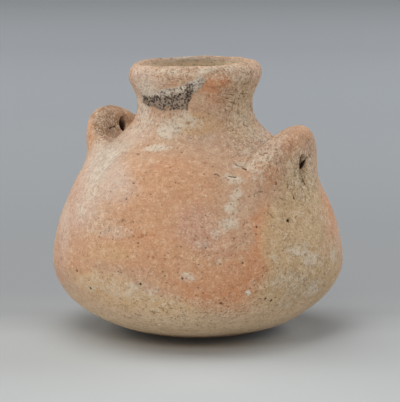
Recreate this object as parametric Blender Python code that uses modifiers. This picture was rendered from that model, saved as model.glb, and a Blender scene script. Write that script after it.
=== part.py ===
# A small fired-clay pot: squat rounded body on a small flat, short flared neck with a thick lip, and
# two upright lugs pierced for a string. A lump of burial crust clings to the neck.
# Metres, +Z up. The origin is the middle of the base, and the lugs stand on the X axis.

import math

import bmesh
import bpy
import mathutils
import numpy as np

# Form of the pot, seen from outside. The climbs are, from the base up: to the widest ring of the body,
# to the narrowest of the neck, to the widest of the rim and to the crest of its lip
BASE_RADIUS = 0.0175
BELLY_RADIUS = 0.0552
NECK_RADIUS = 0.0218
RIM_RADIUS = 0.0251
BELLY_HEIGHT = 0.0285
SHOULDER_CLIMB = 0.0580
FLARE_CLIMB = 0.0111
LIP_CLIMB = 0.0046
NECK_HEIGHT = BELLY_HEIGHT + SHOULDER_CLIMB
RIM_HEIGHT = NECK_HEIGHT + FLARE_CLIMB
POT_HEIGHT = RIM_HEIGHT + LIP_CLIMB

# Thickness of the clay
FLOOR_THICKNESS = 0.0058
BODY_WALL = 0.0048
NECK_WALL = 0.0042
RIM_WALL = 0.0050

# Curves of the outline. The shoulder's points are shares of the way in from belly to neck and of its climb
BOWL_POWER = 1.25
FLARE_POWER = 1.2
CREST_SHARE = 0.28
SHOULDER_SHARES = (
    (0.991, 0.078),
    (0.940, 0.216),
    (0.835, 0.371),
    (0.704, 0.509),
    (0.515, 0.647),
    (0.246, 0.767),
    (0.066, 0.871),
    (0.009, 0.948),
)

# Where one stretch of clay was joined to the next, as a share of the climb that it lies in
BASE_SEAM_SHARE = 0.021
BELLY_SEAM_SHARE = 0.078
SHOULDER_SEAM_SHARE = 0.871
RIM_SEAM_SHARE = 0.586
BASE_SEAM_HEIGHT = BELLY_HEIGHT * BASE_SEAM_SHARE
BELLY_SEAM_HEIGHT = BELLY_HEIGHT + SHOULDER_CLIMB * BELLY_SEAM_SHARE
SHOULDER_SEAM_HEIGHT = BELLY_HEIGHT + SHOULDER_CLIMB * SHOULDER_SEAM_SHARE
RIM_SEAM_HEIGHT = NECK_HEIGHT + FLARE_CLIMB * RIM_SEAM_SHARE
SEAM_LAP = 0.0028
SEAM_GAP = 0.0003

# Lugs: a curved fin of clay each, whose outer face stands a little in from the widest of the belly. Its
# top edge falls gently to one foot and steeply to the other. Heights are above the shoulder at its inner face
LUG_THICKNESS = 0.0090
LUG_FOOT_THICKNESS = 0.0098
LUG_HALF_SPAN = 0.0220
LUG_RUN_OUT = 0.0030
LUG_DROP = 0.0150
LUG_GENTLE_POWER = 2.45
LUG_STEEP_POWER = 3.5
LUG_ROOT_SHARE = 0.285
LUG_ROOT_HEIGHT = BELLY_HEIGHT + SHOULDER_CLIMB * LUG_ROOT_SHARE
LUG_FLARE = 0.0030
LUG_FLARE_RISE = 0.0074
LUG_FLARE_FALL = 0.0060
RIGHT_LUG_RISE = 0.0126
RIGHT_LUG_INSET = 0.0092
RIGHT_LUG_REACH = BELLY_RADIUS - RIGHT_LUG_INSET
RIGHT_LUG_BEND = 0.0360
RIGHT_LUG_PEAK = 0.0047
LEFT_LUG_RISE = 0.0141
LEFT_LUG_INSET = 0.0114
LEFT_LUG_REACH = BELLY_RADIUS - LEFT_LUG_INSET
LEFT_LUG_BEND = 0.0300
LEFT_LUG_PEAK = 0.0030

# String holes, which slope down and out through the lugs, and the worn grooves under them
HOLE_DIAMETER = 0.0036
HOLE_SLOPE = math.radians(46)
RIGHT_HOLE_BELOW_TOP = 0.0090
RIGHT_HOLE_OFFSET = 0.0002
LEFT_HOLE_BELOW_TOP = 0.0114
LEFT_HOLE_OFFSET = 0.0016
GROOVE_WIDTH = 0.0050
GROOVE_LENGTH = 0.0110
GROOVE_DEPTH = 0.0016

# Burial crust on the neck. The shares along its middle line are of the sweep, of the climb from the
# narrowest of the neck to the widest of the rim, and of the half width
CRUST_THICKNESS = 0.0014
CRUST_HALF_WIDTH = 0.0045
CRUST_GAP = 0.0003
CRUST_START = math.radians(-30)
CRUST_SWEEP = math.radians(71)
CRUST_SHARES = (
    (0.00, 0.17, 0.22),
    (0.07, 0.20, 0.36),
    (0.25, 0.30, 0.56),
    (0.42, 0.31, 0.82),
    (0.58, 0.34, 0.84),
    (0.70, 0.37, 1.00),
    (0.77, 0.54, 0.80),
    (0.85, 0.74, 0.56),
    (0.93, 0.86, 0.38),
    (1.00, 0.90, 0.20),
)

# The neck was set a little out of true: it stands over to one side, and its rim dips there
LEAN_DIRECTION = math.radians(213)
LEAN_OFFSET = 0.0011
RIM_TILT = math.radians(1.4)
LEAN_ROW_COUNT = 5
LEANING_ROW_COUNT = 2

# Fineness of the model
TURN_STEPS = 48
OUTLINE_STEP = 0.0001
BODY_STEP = 0.0044
NECK_STEP = 0.0025
RIM_STEPS = 6
LUG_SECTIONS = 15
LUG_TIP_STEPS = 6
LUG_SIDE_STEPS = 9
HOLE_SIDES = 16
MERGE_DISTANCE = 0.00001
OVERRUN = 0.0020


def clear_scene():
    for old in list(bpy.data.objects):
        bpy.data.objects.remove(old, do_unlink=True)


def new_collection(name, hidden=False):
    collection = bpy.data.collections.new(name)
    bpy.context.scene.collection.children.link(collection)
    collection.hide_render = hidden
    return collection


def fired_clay(name, colour, roughness):
    material = bpy.data.materials.new(name)
    material.use_nodes = True
    shader = material.node_tree.nodes["Principled BSDF"]
    shader.inputs["Base Color"].default_value = (*colour, 1)
    shader.inputs["Roughness"].default_value = roughness
    shader.inputs["Metallic"].default_value = 0
    return material


def smooth_step(share):
    return share * share * (3 - 2 * share)


def curve_through(guides, steps):
    """Points along a smooth curve from the second guide up to the last but one, which it leaves out."""
    guides = np.array(guides)
    made = []
    for i in range(1, len(guides) - 2):
        a, b, c, d = guides[i - 1 : i + 3]
        for step in range(steps):
            t = step / steps
            made.append(
                (
                    2 * b
                    + (c - a) * t
                    + (2 * a - 5 * b + 4 * c - d) * t**2
                    + (3 * b - a - 3 * c + d) * t**3
                )
                / 2
            )
    return made


def outer_outline():
    """Radius and height of the outer face, from the edge of the base up to the widest ring of the rim."""
    fine = round(BELLY_HEIGHT / OUTLINE_STEP)
    points = []
    for step in range(fine):
        angle = math.pi / 2 * step / fine
        out = (BELLY_RADIUS - BASE_RADIUS) * math.sin(angle) ** BOWL_POWER
        points.append((BASE_RADIUS + out, BELLY_HEIGHT * (1 - math.cos(angle))))
    shoulder = [(BELLY_RADIUS, BELLY_HEIGHT)]
    for across, up in SHOULDER_SHARES:
        radius = NECK_RADIUS + (BELLY_RADIUS - NECK_RADIUS) * across
        shoulder.append((radius, BELLY_HEIGHT + SHOULDER_CLIMB * up))
    shoulder.append((NECK_RADIUS, NECK_HEIGHT))
    # A mirrored guide past each end keeps the curve upright there
    below = (shoulder[1][0], 2 * BELLY_HEIGHT - shoulder[1][1])
    above = (shoulder[-2][0], 2 * NECK_HEIGHT - shoulder[-2][1])
    points.extend(curve_through([below, *shoulder, above], fine // len(shoulder)))
    for step in range(fine + 1):
        share = step / fine
        out = (RIM_RADIUS - NECK_RADIUS) * smooth_step(share**FLARE_POWER)
        points.append((NECK_RADIUS + out, NECK_HEIGHT + FLARE_CLIMB * share))
    return np.array(points)


class Wall:
    """The pot's wall, followed by the length of its outer face from the edge of the base."""

    def __init__(self):
        self.outer = outer_outline()
        steps = np.linalg.norm(np.diff(self.outer, axis=0), axis=1)
        self.along = np.concatenate([[0], np.cumsum(steps)])
        slope = np.gradient(self.outer, self.along, axis=0)
        slope /= np.linalg.norm(slope, axis=1)[:, None]
        self.outward = np.stack([slope[:, 1], -slope[:, 0]], axis=1)
        self.neck_foot = self.at_height(SHOULDER_SEAM_HEIGHT)

    def at_height(self, height):
        return float(np.interp(height, self.outer[:, 1], self.along))

    def thickness(self, height):
        heights = (0, BELLY_HEIGHT, NECK_HEIGHT, RIM_HEIGHT)
        return float(np.interp(height, heights, (FLOOR_THICKNESS, BODY_WALL, NECK_WALL, RIM_WALL)))

    def face(self, along, stand_off=0.0):
        """The point of the outer face there, moved out by stand_off."""
        radius, height = (np.interp(along, self.along, self.outer[:, i]) for i in (0, 1))
        out, up = (np.interp(along, self.along, self.outward[:, i]) for i in (0, 1))
        return radius + stand_off * out, height + stand_off * up

    def inner(self, along):
        return self.face(along, -self.thickness(self.face(along)[1]))

    def shoulder_height(self, radius):
        """Height of the outer face between belly and neck, where it has that radius."""
        shoulder = self.outer[self.outer[:, 1] >= BELLY_HEIGHT]
        shoulder = shoulder[shoulder[:, 1] <= NECK_HEIGHT][::-1]
        return float(np.interp(radius, shoulder[:, 0], shoulder[:, 1]))

    def stretch(self, low, high, side):
        """Evenly spaced points of one side between two lengths, closer together on the neck."""
        step_size = NECK_STEP if min(low, high) > self.neck_foot else BODY_STEP
        count = max(2, round(abs(high - low) / step_size) + 1)
        return [side(low + (high - low) * step / (count - 1)) for step in range(count)]


def turn(name, profile, closed, collection, material=None):
    """A turned piece: the profile lies in the XZ plane and runs down its outer side."""
    mesh = bpy.data.meshes.new(name)
    edges = [(i, i + 1) for i in range(len(profile) - 1)]
    if closed:
        edges.append((len(profile) - 1, 0))
    mesh.from_pydata([(radius, 0, height) for radius, height in profile], edges, [])
    piece = bpy.data.objects.new(name, mesh)
    collection.objects.link(piece)
    if material:
        mesh.materials.append(material)
    screw = piece.modifiers.new("turn", "SCREW")
    screw.angle = 2 * math.pi
    screw.steps = TURN_STEPS
    screw.render_steps = TURN_STEPS
    screw.use_merge_vertices = True
    screw.merge_threshold = MERGE_DISTANCE
    screw.use_smooth_shade = True
    return piece


def seam(wall, height, upper):
    """Lengths of the outer and inner ends of a sloping join, for the piece above or below it."""
    slope = math.atan2(SEAM_LAP, wall.thickness(height))
    half = SEAM_GAP / math.cos(slope) / 2
    outside = wall.at_height(height) + (half if upper else -half)
    return outside, outside + SEAM_LAP


def make_base(wall, collection, material):
    outside, inside = seam(wall, BASE_SEAM_HEIGHT, upper=False)
    profile = [(0, FLOOR_THICKNESS)]
    profile.append(wall.inner(0))
    profile.append(wall.inner(inside))
    profile.append(wall.face(outside))
    profile.append((BASE_RADIUS, 0))
    profile.append((0, 0))
    return turn("base_disc", profile, False, collection, material)


def make_ring(name, wall, low, high, collection, material):
    """A stretch of wall between two joins."""
    low_out, low_in = seam(wall, low, upper=True)
    high_out, high_in = seam(wall, high, upper=False)
    profile = wall.stretch(high_out, low_out, wall.face)
    profile += wall.stretch(low_in, high_in, wall.inner)
    return turn(name, profile, True, collection, material)


def make_rim(wall, collection, material):
    low_out, low_in = seam(wall, RIM_SEAM_HEIGHT, upper=True)
    inward = RIM_WALL * CREST_SHARE
    crest_radius = RIM_RADIUS - RIM_WALL + inward
    profile = []
    for step in range(RIM_STEPS):
        angle = math.pi / 2 * (1 - step / RIM_STEPS)
        out = (RIM_WALL - inward) * math.cos(angle)
        profile.append((crest_radius + out, RIM_HEIGHT + LIP_CLIMB * math.sin(angle)))
    top = wall.at_height(RIM_HEIGHT)
    profile += wall.stretch(top, low_out, wall.face)
    profile += wall.stretch(low_in, top, wall.inner)
    for step in range(1, RIM_STEPS):
        angle = math.pi / 2 * step / RIM_STEPS
        radius = crest_radius - inward * math.cos(angle)
        profile.append((radius, RIM_HEIGHT + LIP_CLIMB * math.sin(angle)))
    return turn("rim_collar", profile, True, collection, material)


def make_seat(name, wall, low, high, gap, overrun, collection):
    """A cutter that fills the pot out to a little past its outer face, and runs on straight at both ends."""
    ends = (wall.at_height(high), wall.at_height(low))
    side = wall.stretch(*ends, lambda along: wall.face(along, gap))
    top, bottom = high + overrun, low - overrun
    profile = [(0, top), (side[0][0], top), *side, (side[-1][0], bottom), (0, bottom)]
    cutter = turn(name, profile, False, collection)
    hide_cutter(cutter)
    return cutter


def hide_cutter(cutter):
    cutter.hide_render = True
    cutter.display_type = "WIRE"


def cut(piece, cutter):
    boolean = piece.modifiers.new(cutter.name, "BOOLEAN")
    boolean.operation = "DIFFERENCE"
    boolean.solver = "EXACT"
    boolean.object = cutter


def lug_section(top, flare_top, thickness):
    """The fin's outline across its length, as (distance out from its middle, height)."""
    half = thickness / 2
    tip = top - half
    side = tip - LUG_ROOT_HEIGHT
    outline = []
    for step in range(LUG_SIDE_STEPS):
        height = LUG_ROOT_HEIGHT + side * step / LUG_SIDE_STEPS
        outline.append((half, height))
    for step in range(LUG_TIP_STEPS + 1):
        angle = math.pi * step / LUG_TIP_STEPS
        outline.append((half * math.cos(angle), tip + half * math.sin(angle)))
    for step in range(LUG_SIDE_STEPS - 1, -1, -1):
        height = LUG_ROOT_HEIGHT + side * step / LUG_SIDE_STEPS
        below = (flare_top - height) / LUG_FLARE_FALL
        outline.append((-half - LUG_FLARE * min(1, max(0, below)) ** 2, height))
    return outline


def make_lug(name, side, stand, rise, reach, bend, peak, collection, material):
    """A fin swept round an upright line, side 1 for +X and -1 for -X, where it is turned half way round."""
    centre = reach - bend
    middle = bend - LUG_THICKNESS / 2
    top = stand + rise
    end = math.asin((LUG_HALF_SPAN + LUG_RUN_OUT) / bend)
    shape = bmesh.new()
    rings = []
    for i in range(LUG_SECTIONS):
        angle = end * (2 * i / (LUG_SECTIONS - 1) - 1)
        across = bend * math.sin(angle) - peak
        if across > 0:
            share = across / (LUG_HALF_SPAN - peak)
            ridge = top - LUG_DROP * share**LUG_STEEP_POWER
        else:
            share = -across / (LUG_HALF_SPAN + peak)
            ridge = top - LUG_DROP * share**LUG_GENTLE_POWER
        thickness = LUG_THICKNESS + (LUG_FOOT_THICKNESS - LUG_THICKNESS) * share
        ring = []
        for out, height in lug_section(ridge, stand + LUG_FLARE_RISE, thickness):
            away = middle + out
            x = centre + away * math.cos(angle)
            ring.append(shape.verts.new((side * x, side * away * math.sin(angle), height)))
        rings.append(ring)
    for ring, following in zip(rings, rings[1:]):
        for i in range(len(ring)):
            j = (i + 1) % len(ring)
            shape.faces.new((ring[i], ring[j], following[j], following[i]))
    shape.faces.new(rings[0])
    shape.faces.new(rings[-1])
    bmesh.ops.recalc_face_normals(shape, faces=shape.faces)
    mesh = bpy.data.meshes.new(name)
    shape.to_mesh(mesh)
    shape.free()
    mesh.shade_smooth()
    mesh.materials.append(material)
    lug = bpy.data.objects.new(name, mesh)
    collection.objects.link(lug)
    return lug


def make_string_hole(name, side, reach, height, offset, collection):
    """A sloping rod through the fin's middle, with the worn groove under its outer mouth."""
    bpy.ops.mesh.primitive_cylinder_add(
        vertices=HOLE_SIDES,
        radius=HOLE_DIAMETER / 2,
        depth=2 * (LUG_THICKNESS + LUG_FLARE + OVERRUN),
    )
    hole = bpy.context.object
    hole.name = name
    hole.location = (side * (reach - LUG_THICKNESS / 2), offset, height)
    hole.rotation_euler = (0, side * (math.pi / 2 + HOLE_SLOPE), 0)
    move_to(hole, collection)
    hide_cutter(hole)
    return hole


def make_groove(name, side, reach, height, offset, collection):
    bpy.ops.mesh.primitive_uv_sphere_add(segments=HOLE_SIDES, ring_count=HOLE_SIDES // 2, radius=1)
    groove = bpy.context.object
    groove.name = name
    groove.scale = (GROOVE_DEPTH, GROOVE_WIDTH / 2, GROOVE_LENGTH / 2)
    mouth = height - LUG_THICKNESS / 2 * math.tan(HOLE_SLOPE)
    groove.location = (side * reach, offset, mouth - GROOVE_LENGTH / 4)
    move_to(groove, collection)
    hide_cutter(groove)
    return groove


def move_to(thing, collection):
    for old in list(thing.users_collection):
        old.objects.unlink(thing)
    collection.objects.link(thing)


def make_crust(wall, collection, material):
    """A lumpy ridge: a tube that runs just under the neck's face, so that only its outer part stands out."""
    curve = bpy.data.curves.new("crust_line", "CURVE")
    curve.dimensions = "3D"
    curve.bevel_depth = 1
    curve.bevel_resolution = 2
    curve.use_fill_caps = True
    spline = curve.splines.new("POLY")
    spline.points.add(len(CRUST_SHARES) - 1)
    for point, (round_share, climb_share, width_share) in zip(spline.points, CRUST_SHARES):
        # The circle that is half_width to either side of the face and CRUST_THICKNESS proud of it
        half_width = CRUST_HALF_WIDTH * width_share
        stand = CRUST_THICKNESS + CRUST_GAP
        tube = (half_width**2 + stand**2) / (2 * stand)
        height = NECK_HEIGHT + FLARE_CLIMB * climb_share
        away, up = wall.face(wall.at_height(height), stand - tube)
        turned = CRUST_START + CRUST_SWEEP * round_share
        point.co = (away * math.sin(turned), -away * math.cos(turned), up, 1)
        point.radius = tube
    guide = bpy.data.objects.new("crust_line", curve)
    collection.objects.link(guide)
    bpy.context.view_layer.update()
    graph = bpy.context.evaluated_depsgraph_get()
    mesh = bpy.data.meshes.new_from_object(guide.evaluated_get(graph))
    mesh.name = "neck_crust"
    joined = bmesh.new()
    joined.from_mesh(mesh)
    bmesh.ops.remove_doubles(joined, verts=joined.verts, dist=MERGE_DISTANCE)
    joined.to_mesh(mesh)
    joined.free()
    mesh.materials.clear()
    mesh.materials.append(material)
    mesh.shade_smooth()
    crust = bpy.data.objects.new("neck_crust", mesh)
    crust.matrix_world = guide.matrix_world
    collection.objects.link(crust)
    bpy.data.objects.remove(guide, do_unlink=True)
    return crust


def make_lean(pieces, collection):
    """A lattice round the whole pot, which carries the neck and the rim over to one side."""
    data = bpy.data.lattices.new("lean")
    data.points_u, data.points_v, data.points_w = 2, 2, LEAN_ROW_COUNT
    for axis in ("u", "v", "w"):
        setattr(data, f"interpolation_type_{axis}", "KEY_LINEAR")
    cage = bpy.data.objects.new("lean", data)
    collection.objects.link(cage)
    width = 2 * (BELLY_RADIUS + OVERRUN)
    cage.scale = (width, width, POT_HEIGHT)
    cage.location = (0, 0, POT_HEIGHT / 2)
    lean = np.array([math.cos(LEAN_DIRECTION), math.sin(LEAN_DIRECTION)])
    row = 4
    for point in data.points[-LEANING_ROW_COUNT * row :]:
        point.co_deform.xy += mathutils.Vector(lean * LEAN_OFFSET / width)
    for point in data.points[-row:]:
        point.co_deform.z -= lean.dot(point.co.xy) * width * math.tan(RIM_TILT) / POT_HEIGHT
    for piece in pieces:
        piece.modifiers.new("lean", "LATTICE").object = cage


def main():
    clear_scene()
    pot = new_collection("two_lugged_pot")
    cutters = new_collection("cutters", hidden=True)
    orange_clay = fired_clay("orange_clay", (0.55, 0.31, 0.19), 0.9)
    buff_clay = fired_clay("buff_clay", (0.50, 0.37, 0.25), 0.92)
    grey_crust = fired_clay("grey_crust", (0.20, 0.17, 0.15), 0.95)
    wall = Wall()
    pieces = [
        make_base(wall, pot, buff_clay),
        make_ring("lower_bowl", wall, BASE_SEAM_HEIGHT, BELLY_SEAM_HEIGHT, pot, buff_clay),
        make_ring("shoulder_wall", wall, BELLY_SEAM_HEIGHT, SHOULDER_SEAM_HEIGHT, pot, orange_clay),
        make_ring("neck_wall", wall, SHOULDER_SEAM_HEIGHT, RIM_SEAM_HEIGHT, pot, orange_clay),
        make_rim(wall, pot, orange_clay),
    ]
    seat = make_seat("lug_seat", wall, LUG_ROOT_HEIGHT, NECK_HEIGHT, SEAM_GAP, OVERRUN, cutters)
    right = (RIGHT_LUG_RISE, RIGHT_LUG_REACH, RIGHT_LUG_BEND, RIGHT_LUG_PEAK)
    left = (LEFT_LUG_RISE, LEFT_LUG_REACH, LEFT_LUG_BEND, LEFT_LUG_PEAK)
    lugs = (
        ("lug_right", 1, right, RIGHT_HOLE_BELOW_TOP, RIGHT_HOLE_OFFSET),
        ("lug_left", -1, left, LEFT_HOLE_BELOW_TOP, LEFT_HOLE_OFFSET),
    )
    for name, side, form, below_top, offset in lugs:
        rise, reach = form[:2]
        stand = wall.shoulder_height(reach - LUG_THICKNESS)
        lug = make_lug(name, side, stand, *form, pot, orange_clay)
        hole = (reach, stand + rise - below_top, offset)
        cut(lug, seat)
        cut(lug, make_string_hole(f"{name}_hole", side, *hole, cutters))
        cut(lug, make_groove(f"{name}_groove", side, *hole, cutters))
        pieces.append(lug)
    crust = make_crust(wall, pot, grey_crust)
    past = CRUST_HALF_WIDTH + OVERRUN
    cut(crust, make_seat("crust_seat", wall, SHOULDER_SEAM_HEIGHT, RIM_HEIGHT, CRUST_GAP, past, cutters))
    pieces.append(crust)
    make_lean(pieces, pot)


main()
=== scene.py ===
# A small fired-clay pot with a short neck and two lugs for a string, as it came out of the ground:
# orange and buff clay, lime bloom, pits where chaff burned out, and a lump of grey crust on the neck.
# Shapes are worked out in millimetres and turned into metres when a mesh is made.

import math

import bmesh
import bpy
import numpy as np
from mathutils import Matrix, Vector
from mathutils.bvhtree import BVHTree


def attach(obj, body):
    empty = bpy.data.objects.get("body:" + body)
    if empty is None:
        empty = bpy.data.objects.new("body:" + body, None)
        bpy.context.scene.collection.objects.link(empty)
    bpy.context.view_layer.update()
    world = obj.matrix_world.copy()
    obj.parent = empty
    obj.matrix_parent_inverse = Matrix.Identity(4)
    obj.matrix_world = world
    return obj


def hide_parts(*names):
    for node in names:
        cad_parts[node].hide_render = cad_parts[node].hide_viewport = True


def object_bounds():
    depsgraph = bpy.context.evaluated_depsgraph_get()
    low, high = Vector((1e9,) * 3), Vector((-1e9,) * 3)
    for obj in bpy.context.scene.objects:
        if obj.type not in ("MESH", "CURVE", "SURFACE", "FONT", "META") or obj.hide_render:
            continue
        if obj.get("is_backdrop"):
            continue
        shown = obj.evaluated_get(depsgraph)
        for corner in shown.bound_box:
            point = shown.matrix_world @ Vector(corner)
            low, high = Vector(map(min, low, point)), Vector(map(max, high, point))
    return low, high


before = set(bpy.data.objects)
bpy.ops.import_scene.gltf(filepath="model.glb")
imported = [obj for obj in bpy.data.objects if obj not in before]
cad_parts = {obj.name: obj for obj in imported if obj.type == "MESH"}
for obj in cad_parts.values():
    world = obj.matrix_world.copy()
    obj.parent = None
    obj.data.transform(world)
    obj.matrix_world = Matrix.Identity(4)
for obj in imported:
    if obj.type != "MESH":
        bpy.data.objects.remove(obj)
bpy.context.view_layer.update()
mm = 0.001
print("frame loaded:", ", ".join(sorted(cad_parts)))

# The camera comes first, because marks are placed where the picture shows them
view = {
    "turn": 33,  # degrees round from the front towards the right lug
    "away": 989.3,
    "height": 194.78,
    "aim": 49,
    "aside": 0.76,
    "distance": 1000,  # from the eye to the pot
    "focus": 2636,  # in picture points
    "middle": (200, 201),
    "picture": 402,  # its longer side
    "sensor": 36,
    "seesTo": 30,  # in metres
}
turned = math.radians(view["turn"])
sideways = np.array([math.cos(turned), math.sin(turned), 0])
backward = np.array([math.sin(turned), -math.cos(turned), 0])
aimPoint = sideways * view["aside"] + np.array([0, 0, view["aim"]])
eye = sideways * view["aside"] + backward * view["away"] + np.array([0, 0, view["height"]])
forward = (aimPoint - eye) / np.linalg.norm(aimPoint - eye)
upward = np.cross(sideways, forward)


def pictured(points):  # where points land in the picture
    away = points - eye
    depth = away @ forward
    across = view["middle"][0] + view["focus"] * (away @ sideways) / depth
    down = view["middle"][1] - view["focus"] * (away @ upward) / depth
    return across, down


def sightLine(x, y):  # the way from the eye to a place in the picture
    across = (x - view["middle"][0]) / view["focus"]
    down = (y - view["middle"][1]) / view["focus"]
    line = forward + sideways * across - upward * down
    return line / np.linalg.norm(line)


def smoothStep(share):
    share = np.clip(share, 0, 1)
    return share * share * (3 - 2 * share)


def fadeIn(value, start, over):  # eased from 0 at the start to 1 further on
    return smoothStep((value - start) / over)


def fadeOut(value, end, over):  # eased from 1 down to 0 at the end
    return smoothStep((end - value) / over)


def softNoise(points, seed, size, count=9, spread=(0.7, 1.5)):  # about -2 to 2, with bumps of that size
    draw = np.random.default_rng(seed)
    ways = draw.normal(size=(count, 3))
    ways /= np.linalg.norm(ways, axis=1)[:, None]
    ways *= (2 * math.pi / (size * draw.uniform(*spread, count)))[:, None]
    waves = np.cos(points @ ways.T + draw.uniform(0, 2 * math.pi, count))
    return waves.sum(axis=1) / math.sqrt(count / 2)


# The pot as a field: how far a place is outside the clay, less than zero inside it
pot = {
    "base": 17.5,
    "belly": 55.2,
    "neck": 21.8,
    "rim": 25.1,
    "bellyHeight": 28.5,
    "neckHeight": 86.5,
    "rimHeight": 97.6,
    "topHeight": 102.2,
    "bowlPower": 1.25,
    "flarePower": 1.2,
    "crestShare": 0.28,
    "bowlStep": 3,  # degrees, as is the step round the lip
    "lipStep": 6,
    "shoulderSteps": 6,
    "flareSteps": 21,
    "shoulder": (  # shares of the way in to the neck still to go, and of the climb to it
        (0.991, 0.078),
        (0.940, 0.216),
        (0.835, 0.371),
        (0.704, 0.509),
        (0.515, 0.647),
        (0.246, 0.767),
        (0.066, 0.871),
        (0.009, 0.948),
    ),
    "walls": (5.8, 4.8, 4.2, 5.0),  # at floor, belly, neck and rim
    "floorGap": 0.2,
    "pastAxis": -8,  # the lines below are closed on the far side of the axis
    "leanTo": 213,  # degrees round from the right lug's side
    "leanBy": 1.1,
    "leanFrom": 51.1,
    "leanFull": 76.7,
    "rimTilt": 1.4,
    "ringTilt": 0.8,  # the widest ring of the lip tilts more than its crest
    "ringRise": 0.5,
    "ringSpread": 3.5,
    "ringInside": (22, 2),  # it starts this far from the axis, and that much further out it is full
    "unevenness": ((38, 0.20), (17, 0.10), (8, 0.05)),  # size and depth of the bumps
    "unevenSeed": 40,
    "unevenWithin": 5,
    "evenFoot": (0.5, 6),  # the foot is true up to here, and fully uneven that much higher
}


def throughPoints(points, steps):  # a smooth line through all but the first and the last
    made = []
    for i in range(1, len(points) - 2):
        a, b, c, d = np.array(points[i - 1 : i + 3])
        for t in np.arange(steps) / steps:
            bend = (2 * a - 5 * b + 4 * c - d) * t**2 + (3 * b - a - 3 * c + d) * t**3
            made.append((2 * b + (c - a) * t + bend) / 2)
    return made


def outerLine():
    line = []
    for angle in np.radians(np.arange(0, 90, pot["bowlStep"])):
        out = (pot["belly"] - pot["base"]) * math.sin(angle) ** pot["bowlPower"]
        line.append((pot["base"] + out, pot["bellyHeight"] * (1 - math.cos(angle))))
    closing, climb = pot["belly"] - pot["neck"], pot["neckHeight"] - pot["bellyHeight"]
    shoulder = [(pot["belly"], pot["bellyHeight"])]
    shoulder += [(pot["neck"] + closing * a, pot["bellyHeight"] + climb * b) for a, b in pot["shoulder"]]
    shoulder.append((pot["neck"], pot["neckHeight"]))
    below = (shoulder[1][0], 2 * shoulder[0][1] - shoulder[1][1])
    above = (shoulder[-2][0], 2 * shoulder[-1][1] - shoulder[-2][1])
    line += throughPoints([below, *shoulder, above], pot["shoulderSteps"])
    climb = pot["rimHeight"] - pot["neckHeight"]
    for share in np.linspace(0, 1, pot["flareSteps"]):
        out = (pot["rim"] - pot["neck"]) * smoothStep(share ** pot["flarePower"])
        line.append((pot["neck"] + out, pot["neckHeight"] + climb * share))
    return np.array(line, dtype=float)


def wallLines():  # closed lines of the filled pot and of its wall, both run on past the axis
    outer = outerLine()
    slope = np.gradient(outer, axis=0)
    slope /= np.linalg.norm(slope, axis=1)[:, None]
    heights = (0, pot["bellyHeight"], pot["neckHeight"], pot["rimHeight"])
    thick = np.interp(outer[:, 1], heights, pot["walls"])
    inner = outer - np.stack([slope[:, 1], -slope[:, 0]], axis=1) * thick[:, None]
    inner = inner[inner[:, 1] > pot["walls"][0] + pot["floorGap"]]
    lipWall = pot["walls"][3]
    inward = lipWall * pot["crestShare"]
    crest = pot["rim"] - lipWall + inward
    lift = pot["topHeight"] - pot["rimHeight"]
    quarter = np.radians(np.arange(pot["lipStep"], 91, pot["lipStep"]))
    arc = [(math.cos(angle), pot["rimHeight"] + lift * math.sin(angle)) for angle in quarter]
    outside = [(crest + (lipWall - inward) * out, height) for out, height in arc]
    inside = [(crest - inward * out, height) for out, height in arc[-2::-1]]
    past = pot["pastAxis"]
    filled = [(past, 0), *outer, *outside, (past, pot["topHeight"])]
    wall = [(past, 0), *outer, *outside, *inside, *inner[::-1], (past, pot["walls"][0])]
    return np.array(filled), np.array(wall)


# Distances to those lines are kept in tables, by distance from the axis and height
gridStep = 0.25
gridRadii = np.arange(0, 68, gridStep)
gridHeights = np.arange(-6, 112, gridStep)


def distanceTable(line):
    r, z = np.meshgrid(gridRadii, gridHeights, indexing="ij")
    nearest = np.full(r.shape, 1e9)
    inside = np.zeros(r.shape, dtype=bool)
    for (ar, az), (br, bz) in zip(line, np.roll(line, -1, axis=0)):
        dr, dz = br - ar, bz - az
        share = np.clip(((r - ar) * dr + (z - az) * dz) / max(dr * dr + dz * dz, 1e-12), 0, 1)
        nearest = np.minimum(nearest, (r - ar - share * dr) ** 2 + (z - az - share * dz) ** 2)
        crosses = (az > z) != (bz > z)
        if abs(dz) > 1e-12:
            inside ^= crosses & (r < ar + (z - az) * dr / dz)
    return np.where(inside, -1, 1) * np.sqrt(nearest)


def lookUp(table, level):  # a table's values at places of the upright pot
    r, z = np.hypot(level[:, 0], level[:, 1]), level[:, 2]
    i = np.clip((r - gridRadii[0]) / gridStep, 0, len(gridRadii) - 1.001)
    j = np.clip((z - gridHeights[0]) / gridStep, 0, len(gridHeights) - 1.001)
    a, b = i.astype(int), j.astype(int)
    u, v = i - a, j - b
    low = table[a, b] * (1 - v) + table[a, b + 1] * v
    high = table[a + 1, b] * (1 - v) + table[a + 1, b + 1] * v
    return low * (1 - u) + high * u


filledTable, wallTable = (distanceTable(line) for line in wallLines())
leanTurn = math.radians(pot["leanTo"])
leanWay = np.array([math.cos(leanTurn), math.sin(leanTurn)])
rimSlope, ringSlope = (math.tan(math.radians(pot[name])) for name in ("rimTilt", "ringTilt"))


def uprighted(points):  # where points of the leaning pot would be if its neck stood straight
    x, y, z = points.T
    along = x * leanWay[0] + y * leanWay[1]
    level = z.copy()
    for _ in range(2):
        share = np.clip((level - pot["leanFull"]) / (pot["topHeight"] - pot["leanFull"]), 0, 1.1)
        ring = np.exp(-(((level - pot["rimHeight"] - pot["ringRise"]) / pot["ringSpread"]) ** 2))
        ring = ring * fadeIn(np.hypot(x, y), *pot["ringInside"])
        level = z + along * (rimSlope * share + ringSlope * ring)
    lean = pot["leanBy"] * np.clip((level - pot["leanFrom"]) / (pot["leanFull"] - pot["leanFrom"]), 0, 1)
    return np.stack([x - leanWay[0] * lean, y - leanWay[1] * lean, level], axis=1)


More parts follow.
